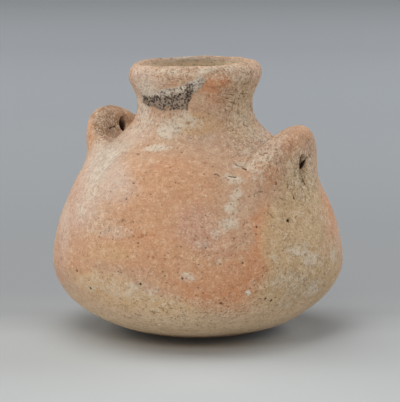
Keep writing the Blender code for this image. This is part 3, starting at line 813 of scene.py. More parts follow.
# Colours that lie on the clay, and how rough it is, as soft ellipses in the picture: across, down,
# half width, half height, degrees of tilt and strength
stains = {
    "lime": (
        (169, 130, 15, 11, -20, 0.92),
        (158, 148, 17, 4, -4, 0.90),
        (106, 151, 13, 8, 20, 0.36),
        (122, 149, 14, 6, -28, 0.32),
        (108, 160, 14, 7, -40, 0.30),
        (95, 162, 7, 16, 25, 0.40),
        (92, 190, 8, 15, 15, 0.62),
        (98, 176, 12, 8, -30, 0.30),
        (81, 210, 5, 8, 0, 0.70),
        (104, 228, 17, 8, 0, 0.50),
        (182, 113, 12, 6, 0, 0.52),
        (206, 70, 10, 3.5, -10, 0.80),
        (198, 80, 6, 5, -40, 0.60),
        (232, 68, 14, 4, 0, 0.50),
        (150, 90, 8, 5, 0, 0.75),
        (164, 91, 12, 3.5, -8, 0.80),
        (181, 86, 9, 3, -25, 0.60),
        (146, 88, 12, 9, 0, 0.70),
        (240, 78, 8, 8, 0, 0.50),
        (200, 101, 8, 8, 0, 0.50),
        (214, 110, 10, 8, 0, 0.40),
        (233, 179, 13, 6, 5, 0.85),
        (241, 166, 13, 5, 0, 0.65),
        (235, 194, 7, 9, 15, 0.80),
        (229, 207, 7, 4, -30, 1.00),
        (228, 224, 12, 6, 10, 0.55),
        (217, 233, 10, 9, 0, 0.60),
        (208, 246, 14, 8, 0, 0.45),
        (233, 214, 12, 16, 10, 0.45),
        (216, 261, 8, 5, 0, 0.55),
        (187, 277, 10, 6, 0, 0.55),
        (173, 297, 9, 8, 0, 0.45),
        (296, 251, 8, 5, 30, 0.60),
        (313, 261, 12, 9, 0, 0.62),
        (333, 255, 5, 9, 0, 0.66),
        (276, 259, 7, 5, 35, 0.55),
        (248, 293, 4, 3, 0, 0.95),
        (320, 213, 8, 12, 0, 0.45),
        (328, 227, 4, 10, 0, 0.45),
        (258, 134, 18, 8, 30, 0.60),
        (252, 152, 16, 8, 10, 0.50),
        (268, 156, 10, 4, -40, 0.40),
        (240, 120, 14, 12, 0, 0.45),
        (300, 250, 22, 12, 20, 0.40),
        (292, 298, 22, 10, -30, 0.48),
        (146, 98, 6, 14, 0, 0.55),
        (150, 118, 14, 8, 20, 0.55),
        (166, 72, 30, 7, 0, 0.55),
        (270, 157, 5, 4, 0, 0.55),
        (278, 146, 20, 6, -48, 0.38),
        (258, 168, 14, 12, -58, 0.50),
        (258, 186, 7, 12, 10, 0.45),
        (96, 200, 22, 34, 0, 0.18),
        (120, 170, 24, 14, 0, 0.18),
        (78, 190, 8, 30, 16, 0.20),
        (140, 128, 14, 7, -30, 0.50),
        (190, 59, 44, 2.5, 0, 0.60),
        (116, 272, 28, 9, 8, 0.22),
        (84, 284, 14, 7, 30, 0.35),
        (314, 288, 14, 8, -40, 0.48),
        (288, 282, 20, 10, -20, 0.45),
        (286, 274, 22, 12, 0, 0.30),
        (188, 122, 22, 8, 0, 0.75),
        (202, 140, 20, 8, 0, 0.45),
        (108, 288, 32, 14, 12, 0.42),
        (140, 292, 26, 11, 8, 0.62),
    ),
    "salmon": (
        (90, 130, 5, 24, 4, 0.90),
        (160, 205, 66, 60, 0, 0.70),
        (190, 180, 50, 26, 0, 0.35),
        (200, 270, 66, 46, -10, 0.75),
        (120, 250, 60, 26, 0, 0.55),
        (75, 250, 16, 50, 0, 0.35),
        (196, 112, 26, 22, 0, 0.30),
        (150, 72, 24, 8, 0, 0.35),
        (297, 138, 16, 12, 0, 0.40),
        (266, 176, 26, 24, 0, 0.50),
        (91, 132, 5, 30, 4, 0.90),
        (304, 138, 10, 14, 0, 0.60),
        (290, 150, 12, 14, 0, 0.55),
    ),
    "orange": (
        (330, 219, 10, 34, -12, 0.75),
        (222, 80, 17, 6, 0, 0.62),
        (216, 98, 16, 14, 0, 0.40),
        (91, 128, 5, 26, 4, 0.22),
        (112, 109, 14, 5, 5, 0.60),
        (98, 119, 6, 13, 6, 0.60),
        (122, 246, 26, 10, 8, 0.36),
        (258, 262, 15, 22, 0, 0.45),
        (262, 222, 12, 22, 0, 0.40),
        (190, 118, 26, 6, 0, 0.45),
        (166, 84, 12, 3, 0, 0.25),
        (240, 296, 24, 22, -20, 0.60),
        (208, 290, 50, 26, 0, 0.45),
        (243, 262, 22, 18, 0, 0.35),
        (148, 236, 14, 6, 10, 0.45),
        (180, 165, 34, 10, 0, 0.25),
        (266, 244, 14, 50, 4, 0.62),
        (248, 222, 16, 10, 0, 0.40),
        (210, 303, 30, 12, 0, 0.70),
        (212, 86, 16, 8, 0, 0.65),
        (158, 90, 14, 4, 0, 0.40),
        (80, 268, 18, 8, 20, 0.45),
        (288, 146, 14, 12, -40, 0.42),
        (266, 174, 18, 14, 0, 0.48),
    ),
    "pink": (
        (195, 226, 24, 26, 0, 0.70),
        (220, 245, 26, 18, 0, 0.50),
        (78, 205, 16, 46, 10, 0.60),
        (110, 185, 30, 30, 0, 0.40),
        (276, 150, 24, 10, -40, 0.40),
        (60, 260, 8, 40, 0, 0.50),
        (140, 270, 16, 8, 0, 0.35),
        (150, 110, 20, 14, 0, 0.40),
    ),
    "dusty": (
        (102, 168, 26, 34, -20, 0.70),
        (84, 206, 18, 34, 10, 0.55),
        (122, 188, 22, 20, 0, 0.45),
        (64, 220, 6, 44, 0, 0.60),
        (144, 104, 9, 24, 0, 0.75),
        (142, 76, 14, 14, 0, 0.75),
        (156, 84, 16, 7, 0, 0.55),
        (196, 62, 54, 7, 0, 0.75),
        (134, 136, 22, 12, -20, 0.60),
        (266, 150, 14, 6, -45, 0.50),
        (254, 160, 8, 8, 0, 0.20),
        (116, 232, 18, 9, 0, 0.45),
        (70, 290, 10, 20, 30, 0.40),
        (337, 230, 4, 44, 0, 0.50),
    ),
    "ash": (
        (112, 152, 24, 13, -35, 0.60),
        (98, 172, 12, 18, 25, 0.45),
        (112, 184, 18, 16, 0, 0.25),
        (80, 208, 8, 16, 10, 0.35),
    ),
    "yellow": (
        (108, 284, 40, 14, 14, 0.60),
        (150, 305, 60, 12, 8, 0.80),
        (112, 252, 28, 12, 0, 0.45),
        (275, 240, 18, 46, 0, 0.62),
        (282, 285, 24, 14, -20, 0.60),
        (84, 284, 16, 10, 30, 0.25),
        (196, 124, 30, 14, 0, 0.60),
        (200, 325, 70, 9, 0, 0.50),
    ),
    "khaki": (
        (300, 232, 34, 50, 0, 0.85),
        (300, 180, 20, 30, 0, 0.75),
        (290, 290, 46, 26, -25, 0.80),
        (200, 328, 90, 12, 0, 0.70),
        (243, 100, 18, 24, 0, 0.75),
        (240, 128, 22, 14, 20, 0.60),
        (115, 124, 9, 9, 10, 0.60),
        (116, 136, 8, 4, -20, 0.40),
        (308, 206, 14, 20, 0, 0.40),
        (284, 244, 22, 48, 0, 0.45),
        (318, 285, 22, 26, -30, 0.85),
        (334, 262, 8, 22, 0, 0.60),
    ),
    "brown": (
        (222, 89, 14, 4, 4, 0.45),
        # the next six lie on the left lug's inner face: brown, and painted shade of that hollow face
        (101, 118, 9, 12, 10, 0.70),
        (114, 108, 14, 5, 10, 0.90),
        (130, 115, 8, 9, 40, 0.85),
        (113, 130, 11, 7, 0, 0.70),
        (99, 124, 6, 14, 0, 0.60),
        (108, 120, 16, 16, 0, 0.92),
        (226, 98, 16, 10, 0, 0.35),
        (310, 150, 5, 18, 0, 0.45),
        (302, 164, 5, 7, 30, 0.80),
        (241, 165, 7, 3, 10, 0.45),
        (251, 107, 3, 6, 0, 0.70),
        (151, 99, 10, 6, 0, 0.35),
    ),
    "rough": (
        (243, 105, 22, 40, 0, 1.0),
        (200, 72, 70, 12, 0, 0.8),
        (200, 110, 60, 20, 0, 0.25),
        (260, 145, 30, 24, 20, 0.7),
        (302, 172, 16, 34, 0, 1.0),
        (300, 230, 40, 50, 0, 0.35),
        (290, 290, 50, 30, -20, 0.35),
        (180, 312, 80, 18, 0, 0.7),
        (108, 128, 20, 20, 0, 1.0),
        (170, 130, 30, 14, 0, 0.3),
        (215, 235, 34, 34, 0, 0.3),
        (110, 230, 24, 16, 0, 0.3),
        (143, 100, 8, 26, 0, 0.9),
        (270, 165, 22, 22, 0, 0.7),
        (240, 145, 20, 10, 0, 0.7),
    ),
}
unseen = {  # what lies on the sides that the picture doesn't show
    "patches": {
        "lime": 26,
        "salmon": 8,
        "orange": 6,
        "pink": 6,
        "dusty": 5,
        "ash": 4,
        "yellow": 5,
        "khaki": 9,
        "brown": 5,
        "rough": 9,
    },
    "seed": 70,
    "sizes": {"lime": (4, 12), "brown": (5, 14), "others": (12, 30)},
    "ways": (95, 265),  # degrees round from the picture's side
    "heights": (6, 96),
    "from": 80,
    "squashed": (1.2, 2.2),
    "strengths": (0.4, 0.85),
    "keptOff": 0.9,  # how much weaker they are where the picture shows the clay
}
patch = {
    "edge": (0.35, 1.1),  # where it starts to fade and over what length, in shares of its size
    "reach": (2.2, 4),  # how near its spot it stays: a share of its size, and millimetres more
    "reachFade": (0.5, 0.5),
    "grazing": (0.25, 0.3),  # it fades out where the clay turns away from the eye
}
pointSize = view["distance"] / view["focus"]  # of the picture, in millimetres at the pot
across, down = pictured(points)
facing = ((eye - points) * normals).sum(axis=1) / np.linalg.norm(eye - points, axis=1)
facing = smoothStep(facing / patch["grazing"][0] + patch["grazing"][1])
for seed, (kind, patches) in enumerate(stains.items()):
    bare = np.ones(len(points))
    for x, y, wide, tall, tilt, strength in patches:
        tilt = math.radians(tilt)
        u = (across - x) * math.cos(tilt) + (down - y) * math.sin(tilt)
        v = (down - y) * math.cos(tilt) - (across - x) * math.sin(tilt)
        laid = strength * (1 - fadeIn(np.sqrt((u / wide) ** 2 + (v / tall) ** 2), *patch["edge"]))
        reach = patch["reach"][0] * max(wide, tall) * pointSize + patch["reach"][1]
        apart = np.linalg.norm(points - placeSeen(x, y), axis=1) / reach
        bare *= 1 - laid * (1 - fadeIn(apart, *patch["reachFade"])) * facing
    draw = np.random.default_rng(unseen["seed"] + seed)
    for _ in range(unseen["patches"][kind]):
        way = math.radians(view["turn"] + draw.uniform(*unseen["ways"]))
        height = draw.uniform(*unseen["heights"])
        size = draw.uniform(*unseen["sizes"].get(kind, unseen["sizes"]["others"]))
        inward = Vector((-math.sin(way), math.cos(way), 0))
        start = Vector((0, 0, height)) - inward * unseen["from"]
        hit = np.array(clayTree.ray_cast(start, inward)[0])
        far = np.linalg.norm((points - hit) * (1, 1, draw.uniform(*unseen["squashed"])), axis=1) / size
        laid = draw.uniform(*unseen["strengths"]) * (1 - fadeIn(far, *patch["edge"]))
        bare *= 1 - laid * (1 - unseen["keptOff"] * facing)
    layers[kind] = 1 - bare
print("stains laid:", ", ".join(layers))


def newMesh(name, points, faces, layers, material):
    mesh = bpy.data.meshes.new(name)
    mesh.from_pydata((points * mm).tolist(), [], faces.tolist())
    mesh.shade_smooth()
    for kind, values in layers.items():
        mesh.attributes.new(kind, "FLOAT", "POINT").data.foreach_set("value", values.astype(np.float32))
    mesh.materials.append(material)
    made = bpy.data.objects.new(name, mesh)
    bpy.context.scene.collection.objects.link(made)
    return made


# What the materials are put together with
def paint(red, green, blue):  # a colour as it looks on a screen
    share = np.array([red, green, blue]) / 255
    return (*np.where(share > 0.04045, ((share + 0.055) / 1.055) ** 2.4, share / 12.92), 1)


def fill(tree, node, values):  # sets a node's inputs, or joins them to what other nodes put out
    for name, value in values.items():
        if isinstance(value, bpy.types.NodeSocket):
            tree.links.new(value, node.inputs[name])
        else:
            node.inputs[name].default_value = value
    return node


def put(tree, kind, values=None, **settings):
    node = tree.nodes.new("ShaderNode" + kind)
    for name, value in settings.items():
        setattr(node, name, value)
    return fill(tree, node, values or {})


def calc(tree, operation, a, b=0.0, c=0.0):
    return put(tree, "Math", {0: a, 1: b, 2: c}, operation=operation).outputs[0]


def times(tree, a, b):
    return calc(tree, "MULTIPLY", a, b)


def timesPlus(tree, value, factor, added):
    return calc(tree, "MULTIPLY_ADD", value, factor, added)


def between(tree, value, low, high):  # eased from 0 at low to 1 at high
    values = {"Value": value, "From Min": low, "From Max": high}
    return put(tree, "MapRange", values, interpolation_type="SMOOTHSTEP").outputs[0]


def tinted(tree, share, below, above):
    return put(tree, "Mix", {0: share, 6: below, 7: above}, data_type="RGBA").outputs[2]


def coated(tree, colour, coats, colours):  # each coat is a mask, its strength and its colour's name
    for share, strength, name in coats:
        if strength != 1:
            share = times(tree, share, strength)
        colour = tinted(tree, share, colour, colours[name])
    return colour


def placeOn(tree, shift, stretch):  # the place on the object, moved and squeezed
    where = put(tree, "TexCoord").outputs["Object"]
    return put(tree, "Mapping", {"Vector": where, "Location": shift, "Scale": stretch}).outputs[0]


def offMiddle(tree, tone, strength):  # a tone around 0.5, made stronger or weaker
    return calc(tree, "ADD", times(tree, calc(tree, "SUBTRACT", tone, 0.5), strength), 0.5)


def spotted(tree, size, stretch=(1, 1, 1), shift=(0, 0, 0), detail=3.0, rough=0.55):  # noise, its size in mm
    values = {"Scale": 1 / (size * mm), "Detail": detail, "Roughness": rough}
    return put(tree, "TexNoise", {"Vector": placeOn(tree, shift, stretch), **values}).outputs["Fac"]


def newGroup(name, inputs, outputs):
    group = bpy.data.node_groups.new(name, "ShaderNodeTree")
    for title, value in inputs.items():
        socket = group.interface.new_socket(title, in_out="INPUT", socket_type="NodeSocketFloat")
        socket.default_value = value
    for title in outputs:
        group.interface.new_socket(title, in_out="OUTPUT", socket_type="NodeSocketFloat")
    return group, group.nodes.new("NodeGroupInput").outputs, group.nodes.new("NodeGroupOutput")


def placed(tree, group, **values):
    return put(tree, "Group", values, node_tree=group).outputs


def coloursOf(finish):
    return {name: paint(*tone) for name, tone in finish["colours"].items()}


def newMaterial(name, kinds=()):  # with a mask for each kind of value that the mesh holds
    material = bpy.data.materials.new(name)
    material.use_nodes = True
    tree = material.node_tree
    masks = {kind: put(tree, "Attribute", attribute_name=kind).outputs["Fac"] for kind in kinds}
    return material, tree, tree.nodes["Principled BSDF"], masks


# A stain's soft mask with its edge broken up, so that it lies in flecks
values = {"Mask": 0, "Break": 0.6, "Low": 0.35, "High": 0.75}
raggedStain, given, made = newGroup("raggedStain", values, ["Mask"])
fine = spotted(raggedStain, 1.3, detail=5, rough=0.72, shift=(0.3, 0.1, 0.2))
wide = spotted(raggedStain, 6.5, stretch=(1, 1, 1.2), detail=4, rough=0.6)
mixed = timesPlus(raggedStain, fine, 0.62, times(raggedStain, wide, 0.38))
offset = times(raggedStain, calc(raggedStain, "SUBTRACT", mixed, 0.5), given["Break"])
strong = timesPlus(raggedStain, offset, 2.4, given["Mask"])
eased = between(raggedStain, strong, given["Low"], given["High"])
kept = times(raggedStain, eased, between(raggedStain, given["Mask"], 0.02, 0.2))
fill(raggedStain, made, {"Mask": kept})

# Fine sandy grain of the fired clay, with flecks of lime caught in it
values = {"Strength": 1, "Flecks": 0.3}
clayGrain, given, made = newGroup("clayGrain", values, ["Tone", "Fleck", "Height"])
sandy = spotted(clayGrain, 0.75, detail=3, rough=0.7)
lumpy = spotted(clayGrain, 2.4, stretch=(1, 1, 1.1), detail=4, rough=0.7, shift=(0.5, 0.2, 0.1))
tone = timesPlus(clayGrain, sandy, 0.55, times(clayGrain, lumpy, 0.45))
small = spotted(clayGrain, 1.1, stretch=(1, 1, 1.15), detail=4, rough=0.7, shift=(0.9, 0.7, 0.3))
over = calc(clayGrain, "SUBTRACT", small, timesPlus(clayGrain, given["Flecks"], -0.26, 0.68))
values = {
    "Tone": offMiddle(clayGrain, tone, given["Strength"]),
    "Fleck": between(clayGrain, over, 0.0, 0.07),
    "Height": timesPlus(clayGrain, sandy, 0.6, lumpy),
}
fill(clayGrain, made, values)

# Faint level lines left by wiping with a wet hand, and thin pale scratches
wipeStreaks, given, made = newGroup("wipeStreaks", {"Strength": 1}, ["Tone", "Scratch"])
streak = spotted(wipeStreaks, 5.0, stretch=(1, 1, 4), detail=5, rough=0.65)
scratches = []
for size, shift, stretch in ((3.4, (0.7, 0.4, 0.3), (1, 1, 1.5)), (2.3, (0.2, 0.8, 0.6), (1.3, 1.3, 1))):
    line = spotted(wipeStreaks, size, stretch=stretch, detail=1, shift=shift)
    ridge = calc(wipeStreaks, "ABSOLUTE", calc(wipeStreaks, "SUBTRACT", line, 0.5))
    thin = calc(wipeStreaks, "SUBTRACT", 1, between(wipeStreaks, ridge, 0.006, 0.030))
    here = between(wipeStreaks, spotted(wipeStreaks, 2.6, detail=2, shift=shift[::-1]), 0.50, 0.58)
    scratches.append(times(wipeStreaks, thin, here))
values = {
    "Tone": offMiddle(wipeStreaks, streak, given["Strength"]),
    "Scratch": calc(wipeStreaks, "MAXIMUM", *scratches),
}
fill(wipeStreaks, made, values)

# Dark and pale specks, some of them small holes
gritSpecks, given, made = newGroup("gritSpecks", {"Amount": 0.3}, ["Dark", "Pale"])
for title, size, shift in (("Dark", 1.25, (0.2, 0.6, 0.1)), ("Pale", 1.05, (0.8, 0.3, 0.5))):
    where = placeOn(gritSpecks, shift, (1, 1, 1.3))
    cell = put(gritSpecks, "TexVoronoi", {"Vector": where, "Scale": 1 / (size * mm), "Randomness": 1})
    lot = put(gritSpecks, "SeparateColor", {0: cell.outputs["Color"]}).outputs[0]
    chosen = calc(gritSpecks, "LESS_THAN", lot, given["Amount"])
    spot = calc(gritSpecks, "SUBTRACT", 1, between(gritSpecks, cell.outputs["Distance"], 0.10, 0.32))
    fill(gritSpecks, made, {title: times(gritSpecks, spot, chosen)})

clayFinish = {
    "colours": {
        "clay": (189, 153, 125),
        "salmon": (194, 146, 110),
        "orange": (198, 138, 98),
        "pink": (189, 144, 121),
        "dusty": (196, 170, 152),
        "ash": (182, 166, 150),
        "yellow": (203, 166, 122),
        "khaki": (190, 159, 120),
        "brown": (150, 117, 89),
        "lime": (212, 200, 182),
        # inner: pale clay of the inside with painted light
        "inner": (240, 219, 185),
        # under: pale dust and painted light on the low belly
        "under": (220, 192, 158),
        # painted shade for the foot
        "baseShade": (112, 90, 70),
        "darkGrain": (104, 76, 54),
        "reddish": (150, 92, 60),
        "paleGrain": (230, 210, 184),
        # reddish spots, and painted shade in the creases
        "rust": (158, 101, 68),
        "chalk": (224, 211, 192),
        # painted shade in the pits and slits
        "pit": (66, 46, 34),
        # painted shade inside the string holes
        "hole": (66, 48, 33),
    },
    "ragged": {  # how broken the edge of each stain is, in the order in which they lie on each other
        "salmon": 0.4,
        "pink": 0.5,
        "orange": 0.5,
        "dusty": 0.5,
        "ash": 0.6,
        "yellow": 0.3,
        "khaki": 0.3,
        "brown": 0.7,
    },
    "bloom": 0.80,
    "inner": 0.92,
    "wiping": 0.7,
    "flecks": (0.5, 0.15),  # this pair and the next ones: more where the clay is rough, and everywhere
    "darkGrain": (0.46, 0.26),
    "paleGrain": (0.40, 0.22),
    "scratches": (0.35, 0.32),
    "specks": (0.26, 0.07),
    "relief": (0.8, 0.6),
    "reliefDepth": 0.5,
}
firedClay, tree, shader, mask = newMaterial("firedClay", layers)


def gritty(name):  # a strength that is greater where the clay is rough
    return timesPlus(tree, mask["rough"], *clayFinish[name])


grain = placed(tree, clayGrain, Strength=1, Flecks=gritty("flecks"))
wipe = placed(tree, wipeStreaks, Strength=clayFinish["wiping"])
specks = placed(tree, gritSpecks, Amount=gritty("specks"))
reddish = spotted(tree, 1.5, detail=3, rough=0.7, shift=(0.1, 0.9, 0.4))
bloom = placed(tree, raggedStain, Mask=mask["lime"], Break=1.5, Low=0.25, High=1.0)["Mask"]
bloom = times(tree, bloom, clayFinish["bloom"])
colours = coloursOf(clayFinish)
colour = colours["clay"]
for kind, ragged in clayFinish["ragged"].items():
    stain = placed(tree, raggedStain, Mask=mask[kind], Break=ragged, Low=0.1, High=0.9)
    colour = tinted(tree, stain["Mask"], colour, colours[kind])
coats = (  # masks, strengths and colours, the lowest first
    # pale dust and painted light on the low belly
    (mask["under"], 1, "under"),
    # painted shade on the foot
    (mask["baseShade"], 1, "baseShade"),
    # pale inside clay with painted light
    (mask["inner"], clayFinish["inner"], "inner"),
    (bloom, 1, "lime"),
    (between(tree, grain["Tone"], 0.50, 0.38), gritty("darkGrain"), "darkGrain"),
    (between(tree, grain["Tone"], 0.50, 0.62), gritty("paleGrain"), "paleGrain"),
    (between(tree, wipe["Tone"], 0.48, 0.34), 0.16, "darkGrain"),
    (between(tree, wipe["Tone"], 0.52, 0.66), 0.16, "paleGrain"),
    (grain["Fleck"], 0.5, "lime"),
    (wipe["Scratch"], gritty("scratches"), "paleGrain"),
    (between(tree, reddish, 0.61, 0.70), 0.5, "reddish"),
    (specks["Pale"], 0.5, "paleGrain"),
    (specks["Dark"], 0.65, "darkGrain"),
    # reddish spots, and painted shade in the creases
    (between(tree, mask["rust"], 0.1, 0.9), 1, "rust"),
    (between(tree, mask["pale"], 0.2, 0.8), 1, "chalk"),
    # painted shade in the pits and slits
    (between(tree, mask["pit"], 0.25, 0.8), 1, "pit"),
    # painted shade inside the string holes
    (mask["bore"], 1, "hole"),
)
colour = coated(tree, colour, coats, colours)
height = times(tree, grain["Height"], gritty("relief"))
height = timesPlus(tree, wipe["Tone"], 0.7, height)
height = timesPlus(tree, bloom, 0.25, height)
height = calc(tree, "SUBTRACT", height, times(tree, specks["Dark"], 0.7))
depth = clayFinish["reliefDepth"] * mm
looks = {
    "Base Color": colour,
    "Roughness": timesPlus(tree, bloom, 0.06, 0.86),
    "Specular IOR Level": 0.3,
    "Normal": put(tree, "Bump", {"Strength": 0.9, "Distance": depth, "Height": height}).outputs[0],
}
fill(tree, shader, looks)

potBody = newMesh("potBody", clayMade, clayTriangles, layers, firedClay)
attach(potBody, "root")
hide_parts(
    "base_disc", "lower_bowl", "shoulder_wall", "neck_wall", "rim_collar", "lug_right", "lug_left"
)


# The lump of crust: small grains of burial earth, cemented to each other and to the neck
crust = {
    "line": (  # across and down in the picture, half width, and how thick the grains lie
        (145.0, 99.0, 1.2, 0.5),
        (148.5, 100.3, 1.9, 0.9),
        (155.0, 99.2, 2.6, 1.1),
        (162.0, 99.6, 3.7, 1.3),
        (170.0, 99.6, 4.0, 1.5),
        (178.0, 98.3, 3.8, 1.7),
        (184.5, 97.4, 4.6, 1.7),
        (189.0, 91.5, 3.3, 1.4),
        (194.0, 86.6, 2.0, 0.9),
        (199.0, 83.0, 1.7, 0.7),
        (203.0, 80.5, 1.0, 0.5),
    ),
    "crossSpread": 0.5,  # of the half width
    "alongSpread": 0.8,
    "edgeThinning": 0.8,
    "grains": 1800,
    "sizes": (0.24, 0.46),
    "heightShares": (0.75, 1.05),
    "lumps": 90,  # bigger ones that the small ones sit on
    "lumpSizes": (0.5, 0.9),
    "holes": 300,
    "holeSizes": (0.18, 0.44),
    "holeShares": (0.85, 1.15),
    "seed": 5,
    "step": 0.17,
    "margin": 1.8,
    "reach": 0.5,  # how far beyond a grain the grid still knows it
    "softness": 0.06,
    "leastPoints": 200,
}
draw = np.random.default_rng(crust["seed"])
line = np.array(crust["line"])


def crustPlace():  # a place on the clay somewhere under the lump, the way out there and the thickness
    place = draw.uniform(0, len(line) - 1.001)
    x, y, half, thick = line[int(place)] + (line[int(place) + 1] - line[int(place)]) * (place % 1)
    off = np.clip(draw.normal(0, crust["crossSpread"]), -1, 1)
    seat = placeSeen(x + draw.normal(0, crust["alongSpread"]), y + off * half / pointSize)
    out = seat * (1, 1, 0)
    return seat, out / np.linalg.norm(out), thick * (1 - crust["edgeThinning"] * off * off)


def ballInGrid(centre, size):  # the block of the grid around a ball, and how far outside it each place is
    reach = size + crust["reach"]
    spans = [np.searchsorted(ticks, (c - reach, c + reach)) for ticks, c in zip(crustTicks, centre)]
    sides = [(ticks[a:b] - c) ** 2 for ticks, c, (a, b) in zip(crustTicks, centre, spans)]
    far = np.sqrt(sides[0][:, None, None] + sides[1][None, :, None] + sides[2][None, None, :])
    return tuple(slice(a, b) for a, b in spans), far - size


grains = []
for i in range(crust["lumps"] + crust["grains"]):
    seat, out, thick = crustPlace()
    big = i < crust["lumps"]
    size = draw.uniform(*crust["lumpSizes" if big else "sizes"])
    rise = thick - size if big else thick * draw.uniform(*crust["heightShares"])
    grains.append((*(seat + out * rise), size))
grains = np.array(grains)
crustLow = grains[:, :3].min(axis=0) - crust["margin"]
crustHigh = grains[:, :3].max(axis=0) + crust["margin"]
crustTicks = [np.arange(a, b, crust["step"]) for a, b in zip(crustLow, crustHigh)]
crustValues = np.full([len(ticks) for ticks in crustTicks], 1.0)
for *centre, size in grains:
    block, far = ballInGrid(centre, size)
    crustValues[block] = softMin(crustValues[block], far, crust["softness"])
openings = []
for _ in range(crust["holes"]):
    seat, out, thick = crustPlace()
    size = draw.uniform(*crust["holeSizes"])
    centre = seat + out * thick * draw.uniform(*crust["holeShares"])
    openings.append((*centre, size))
    block, far = ballInGrid(centre, size)
    crustValues[block] = np.maximum(crustValues[block], -far)


def crustField(points):  # the crust's grid, read between its places
    place = (points - crustLow) / crust["step"]
    place = np.clip(place, 0, np.array(crustValues.shape) - 1.001)
    cell = place.astype(int)
    share = place - cell
    total = np.zeros(len(points))
    for i, j, k in np.ndindex(2, 2, 2):
        weight = np.prod(np.where((i, j, k), share, 1 - share), axis=1)
        total += weight * crustValues[cell[:, 0] + i, cell[:, 1] + j, cell[:, 2] + k]
    return total


def largestParts(points, faces):  # leaves out grains that touch nothing
    owner = np.arange(len(points))
    while True:
        low = owner[faces].min(axis=1)
        following = owner.copy()
        for i in range(4):
            np.minimum.at(following, faces[:, i], low)
        following = following[following]
        if (following == owner).all():
            break
        owner = following
    names, counts = np.unique(owner, return_counts=True)
    kept = np.isin(owner, names[counts > crust["leastPoints"]])
    number = np.cumsum(kept) - 1
    return points[kept], number[faces[kept[faces].all(axis=1)]]


crustPoints, crustFaces = largestParts(*surfaceNet(crustLow, crust["step"], crustValues))
# the crust's hollows and holes are darkened with painted shade
shading = {  # starts or ends, and the lengths over which they fade
    "lookOut": 0.5,  # a place is hollow where that far out of it is still close to grains
    "hollowShade": (0.34, 0.24),
    "holes": (0.95, 0.35),
    "proud": (0, 1.4),
    "upper": 1.5,  # the pale upper part starts that far above the line's middle, in picture points
    "upperFade": 4,
    "upperRise": 2.5,  # and this much higher right of a place in the picture
    "upperRiseFade": (170, 8),
    "tail": (190, 4),  # the thin end on the right is pale all over
    "tailHollow": 0.55,
    "tailHollowFade": (189, 6),
}
# painted shade: darker where the crust is hollow or holed
away = crustPoints + wayOut(crustField, crustPoints, 0.15) * shading["lookOut"]
hollowShade = fadeOut(crustField(away), *shading["hollowShade"])
for *centre, size in openings:
    far = np.linalg.norm(crustPoints - centre, axis=1) / size
    hollowShade = np.maximum(hollowShade, 1 - fadeIn(far, *shading["holes"]))
across, down = pictured(crustPoints)
over = np.interp(across, line[:, 0], line[:, 1]) - down
start = shading["upper"] + shading["upperRise"] * fadeIn(across, *shading["upperRiseFade"])
upper = fadeIn(over, start, shading["upperFade"])
crustLayers = {
    "hollowShade": hollowShade * (1 - shading["tailHollow"] * fadeIn(across, *shading["tailHollowFade"])),
    "proud": fadeIn(lookUp(filledTable, uprighted(crustPoints)), *shading["proud"]),
    "upper": np.maximum(upper, fadeIn(across, *shading["tail"])),
}
print("crust grown:", len(crustPoints), "points")

crustFinish = {
    "colours": {
        "earth": (142, 129, 117),
        "dark": (62, 48, 39),
        "pale": (202, 189, 173),
        "brown": (158, 138, 119),
    },
    "graininess": 1.4,
    "specks": 0.35,
    "low": (-0.32, 0.45),  # this pair and the next one: less in the pale upper part, and everywhere
    # painted shade in the crust's hollows and holes
    "hollowShade": (-0.55, 0.80),
    "reliefDepth": 0.3,
}
greyCrust, tree, shader, mask = newMaterial("greyCrust", crustLayers)
grain = placed(tree, clayGrain, Strength=crustFinish["graininess"])
specks = placed(tree, gritSpecks, Amount=crustFinish["specks"])
mottle = between(tree, spotted(tree, 1.6, detail=3, shift=(0.2, 0.2, 0.7)), 0.38, 0.62)
limed = times(tree, mask["upper"], between(tree, grain["Tone"], 0.32, 0.46))
low = calc(tree, "SUBTRACT", 1, mask["proud"])
colours = coloursOf(crustFinish)
coats = (
    (mottle, 1, "brown"),
    (limed, 0.9, "pale"),
    (specks["Pale"], 0.6, "pale"),
    (low, timesPlus(tree, mask["upper"], *crustFinish["low"]), "dark"),
    # painted shade in the hollows and holes
    (mask["hollowShade"], timesPlus(tree, mask["upper"], *crustFinish["hollowShade"]), "dark"),
    (specks["Dark"], 0.7, "dark"),
)
depth = crustFinish["reliefDepth"] * mm
looks = {
    "Base Color": coated(tree, colours["earth"], coats, colours),
    "Roughness": timesPlus(tree, grain["Tone"], 0.1, 0.88),
    "Specular IOR Level": 0.25,
    "Normal": put(tree, "Bump", {"Strength": 0.6, "Distance": depth, "Height": grain["Height"]}).outputs[0],
}
fill(tree, shader, looks)
neckCrust = newMesh("neckCrust", crustPoints, crustFaces, crustLayers, greyCrust)
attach(neckCrust, "root")
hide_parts("neck_crust")

# The floor: one pale sheet, darker behind the pot and paler again far off; these tones are painted shade and
# painted light for how the studio light falls on it
floor = {
    "half": 6000,
    "tones": (  # how far behind the pot, and its colour there
        (-160, (183, 186, 186)),
        (-60, (183, 186, 186)),
        (-12, (181, 184, 185)),
        (32, (148, 150, 151)),
        (81, (142, 144, 146)),
        (134, (142, 144, 146)),
        (257, (142, 145, 147)),
        (410, (146, 149, 152)),
        (722, (151, 155, 159)),
        (1210, (167, 171, 176)),
        (1780, (201, 206, 210)),
    ),
}
floorPaper, tree, shader, _ = newMaterial("floorPaper")
where = put(tree, "TexCoord").outputs["Object"]
behind = put(tree, "VectorMath", {0: where, 1: tuple(-backward)}, operation="DOT_PRODUCT").outputs["Value"]
first, last = floor["tones"][0][0] * mm, floor["tones"][-1][0] * mm
share = put(tree, "MapRange", {"Value": behind, "From Min": first, "From Max": last}).outputs[0]
ramp = put(tree, "ValToRGB", {"Fac": share})
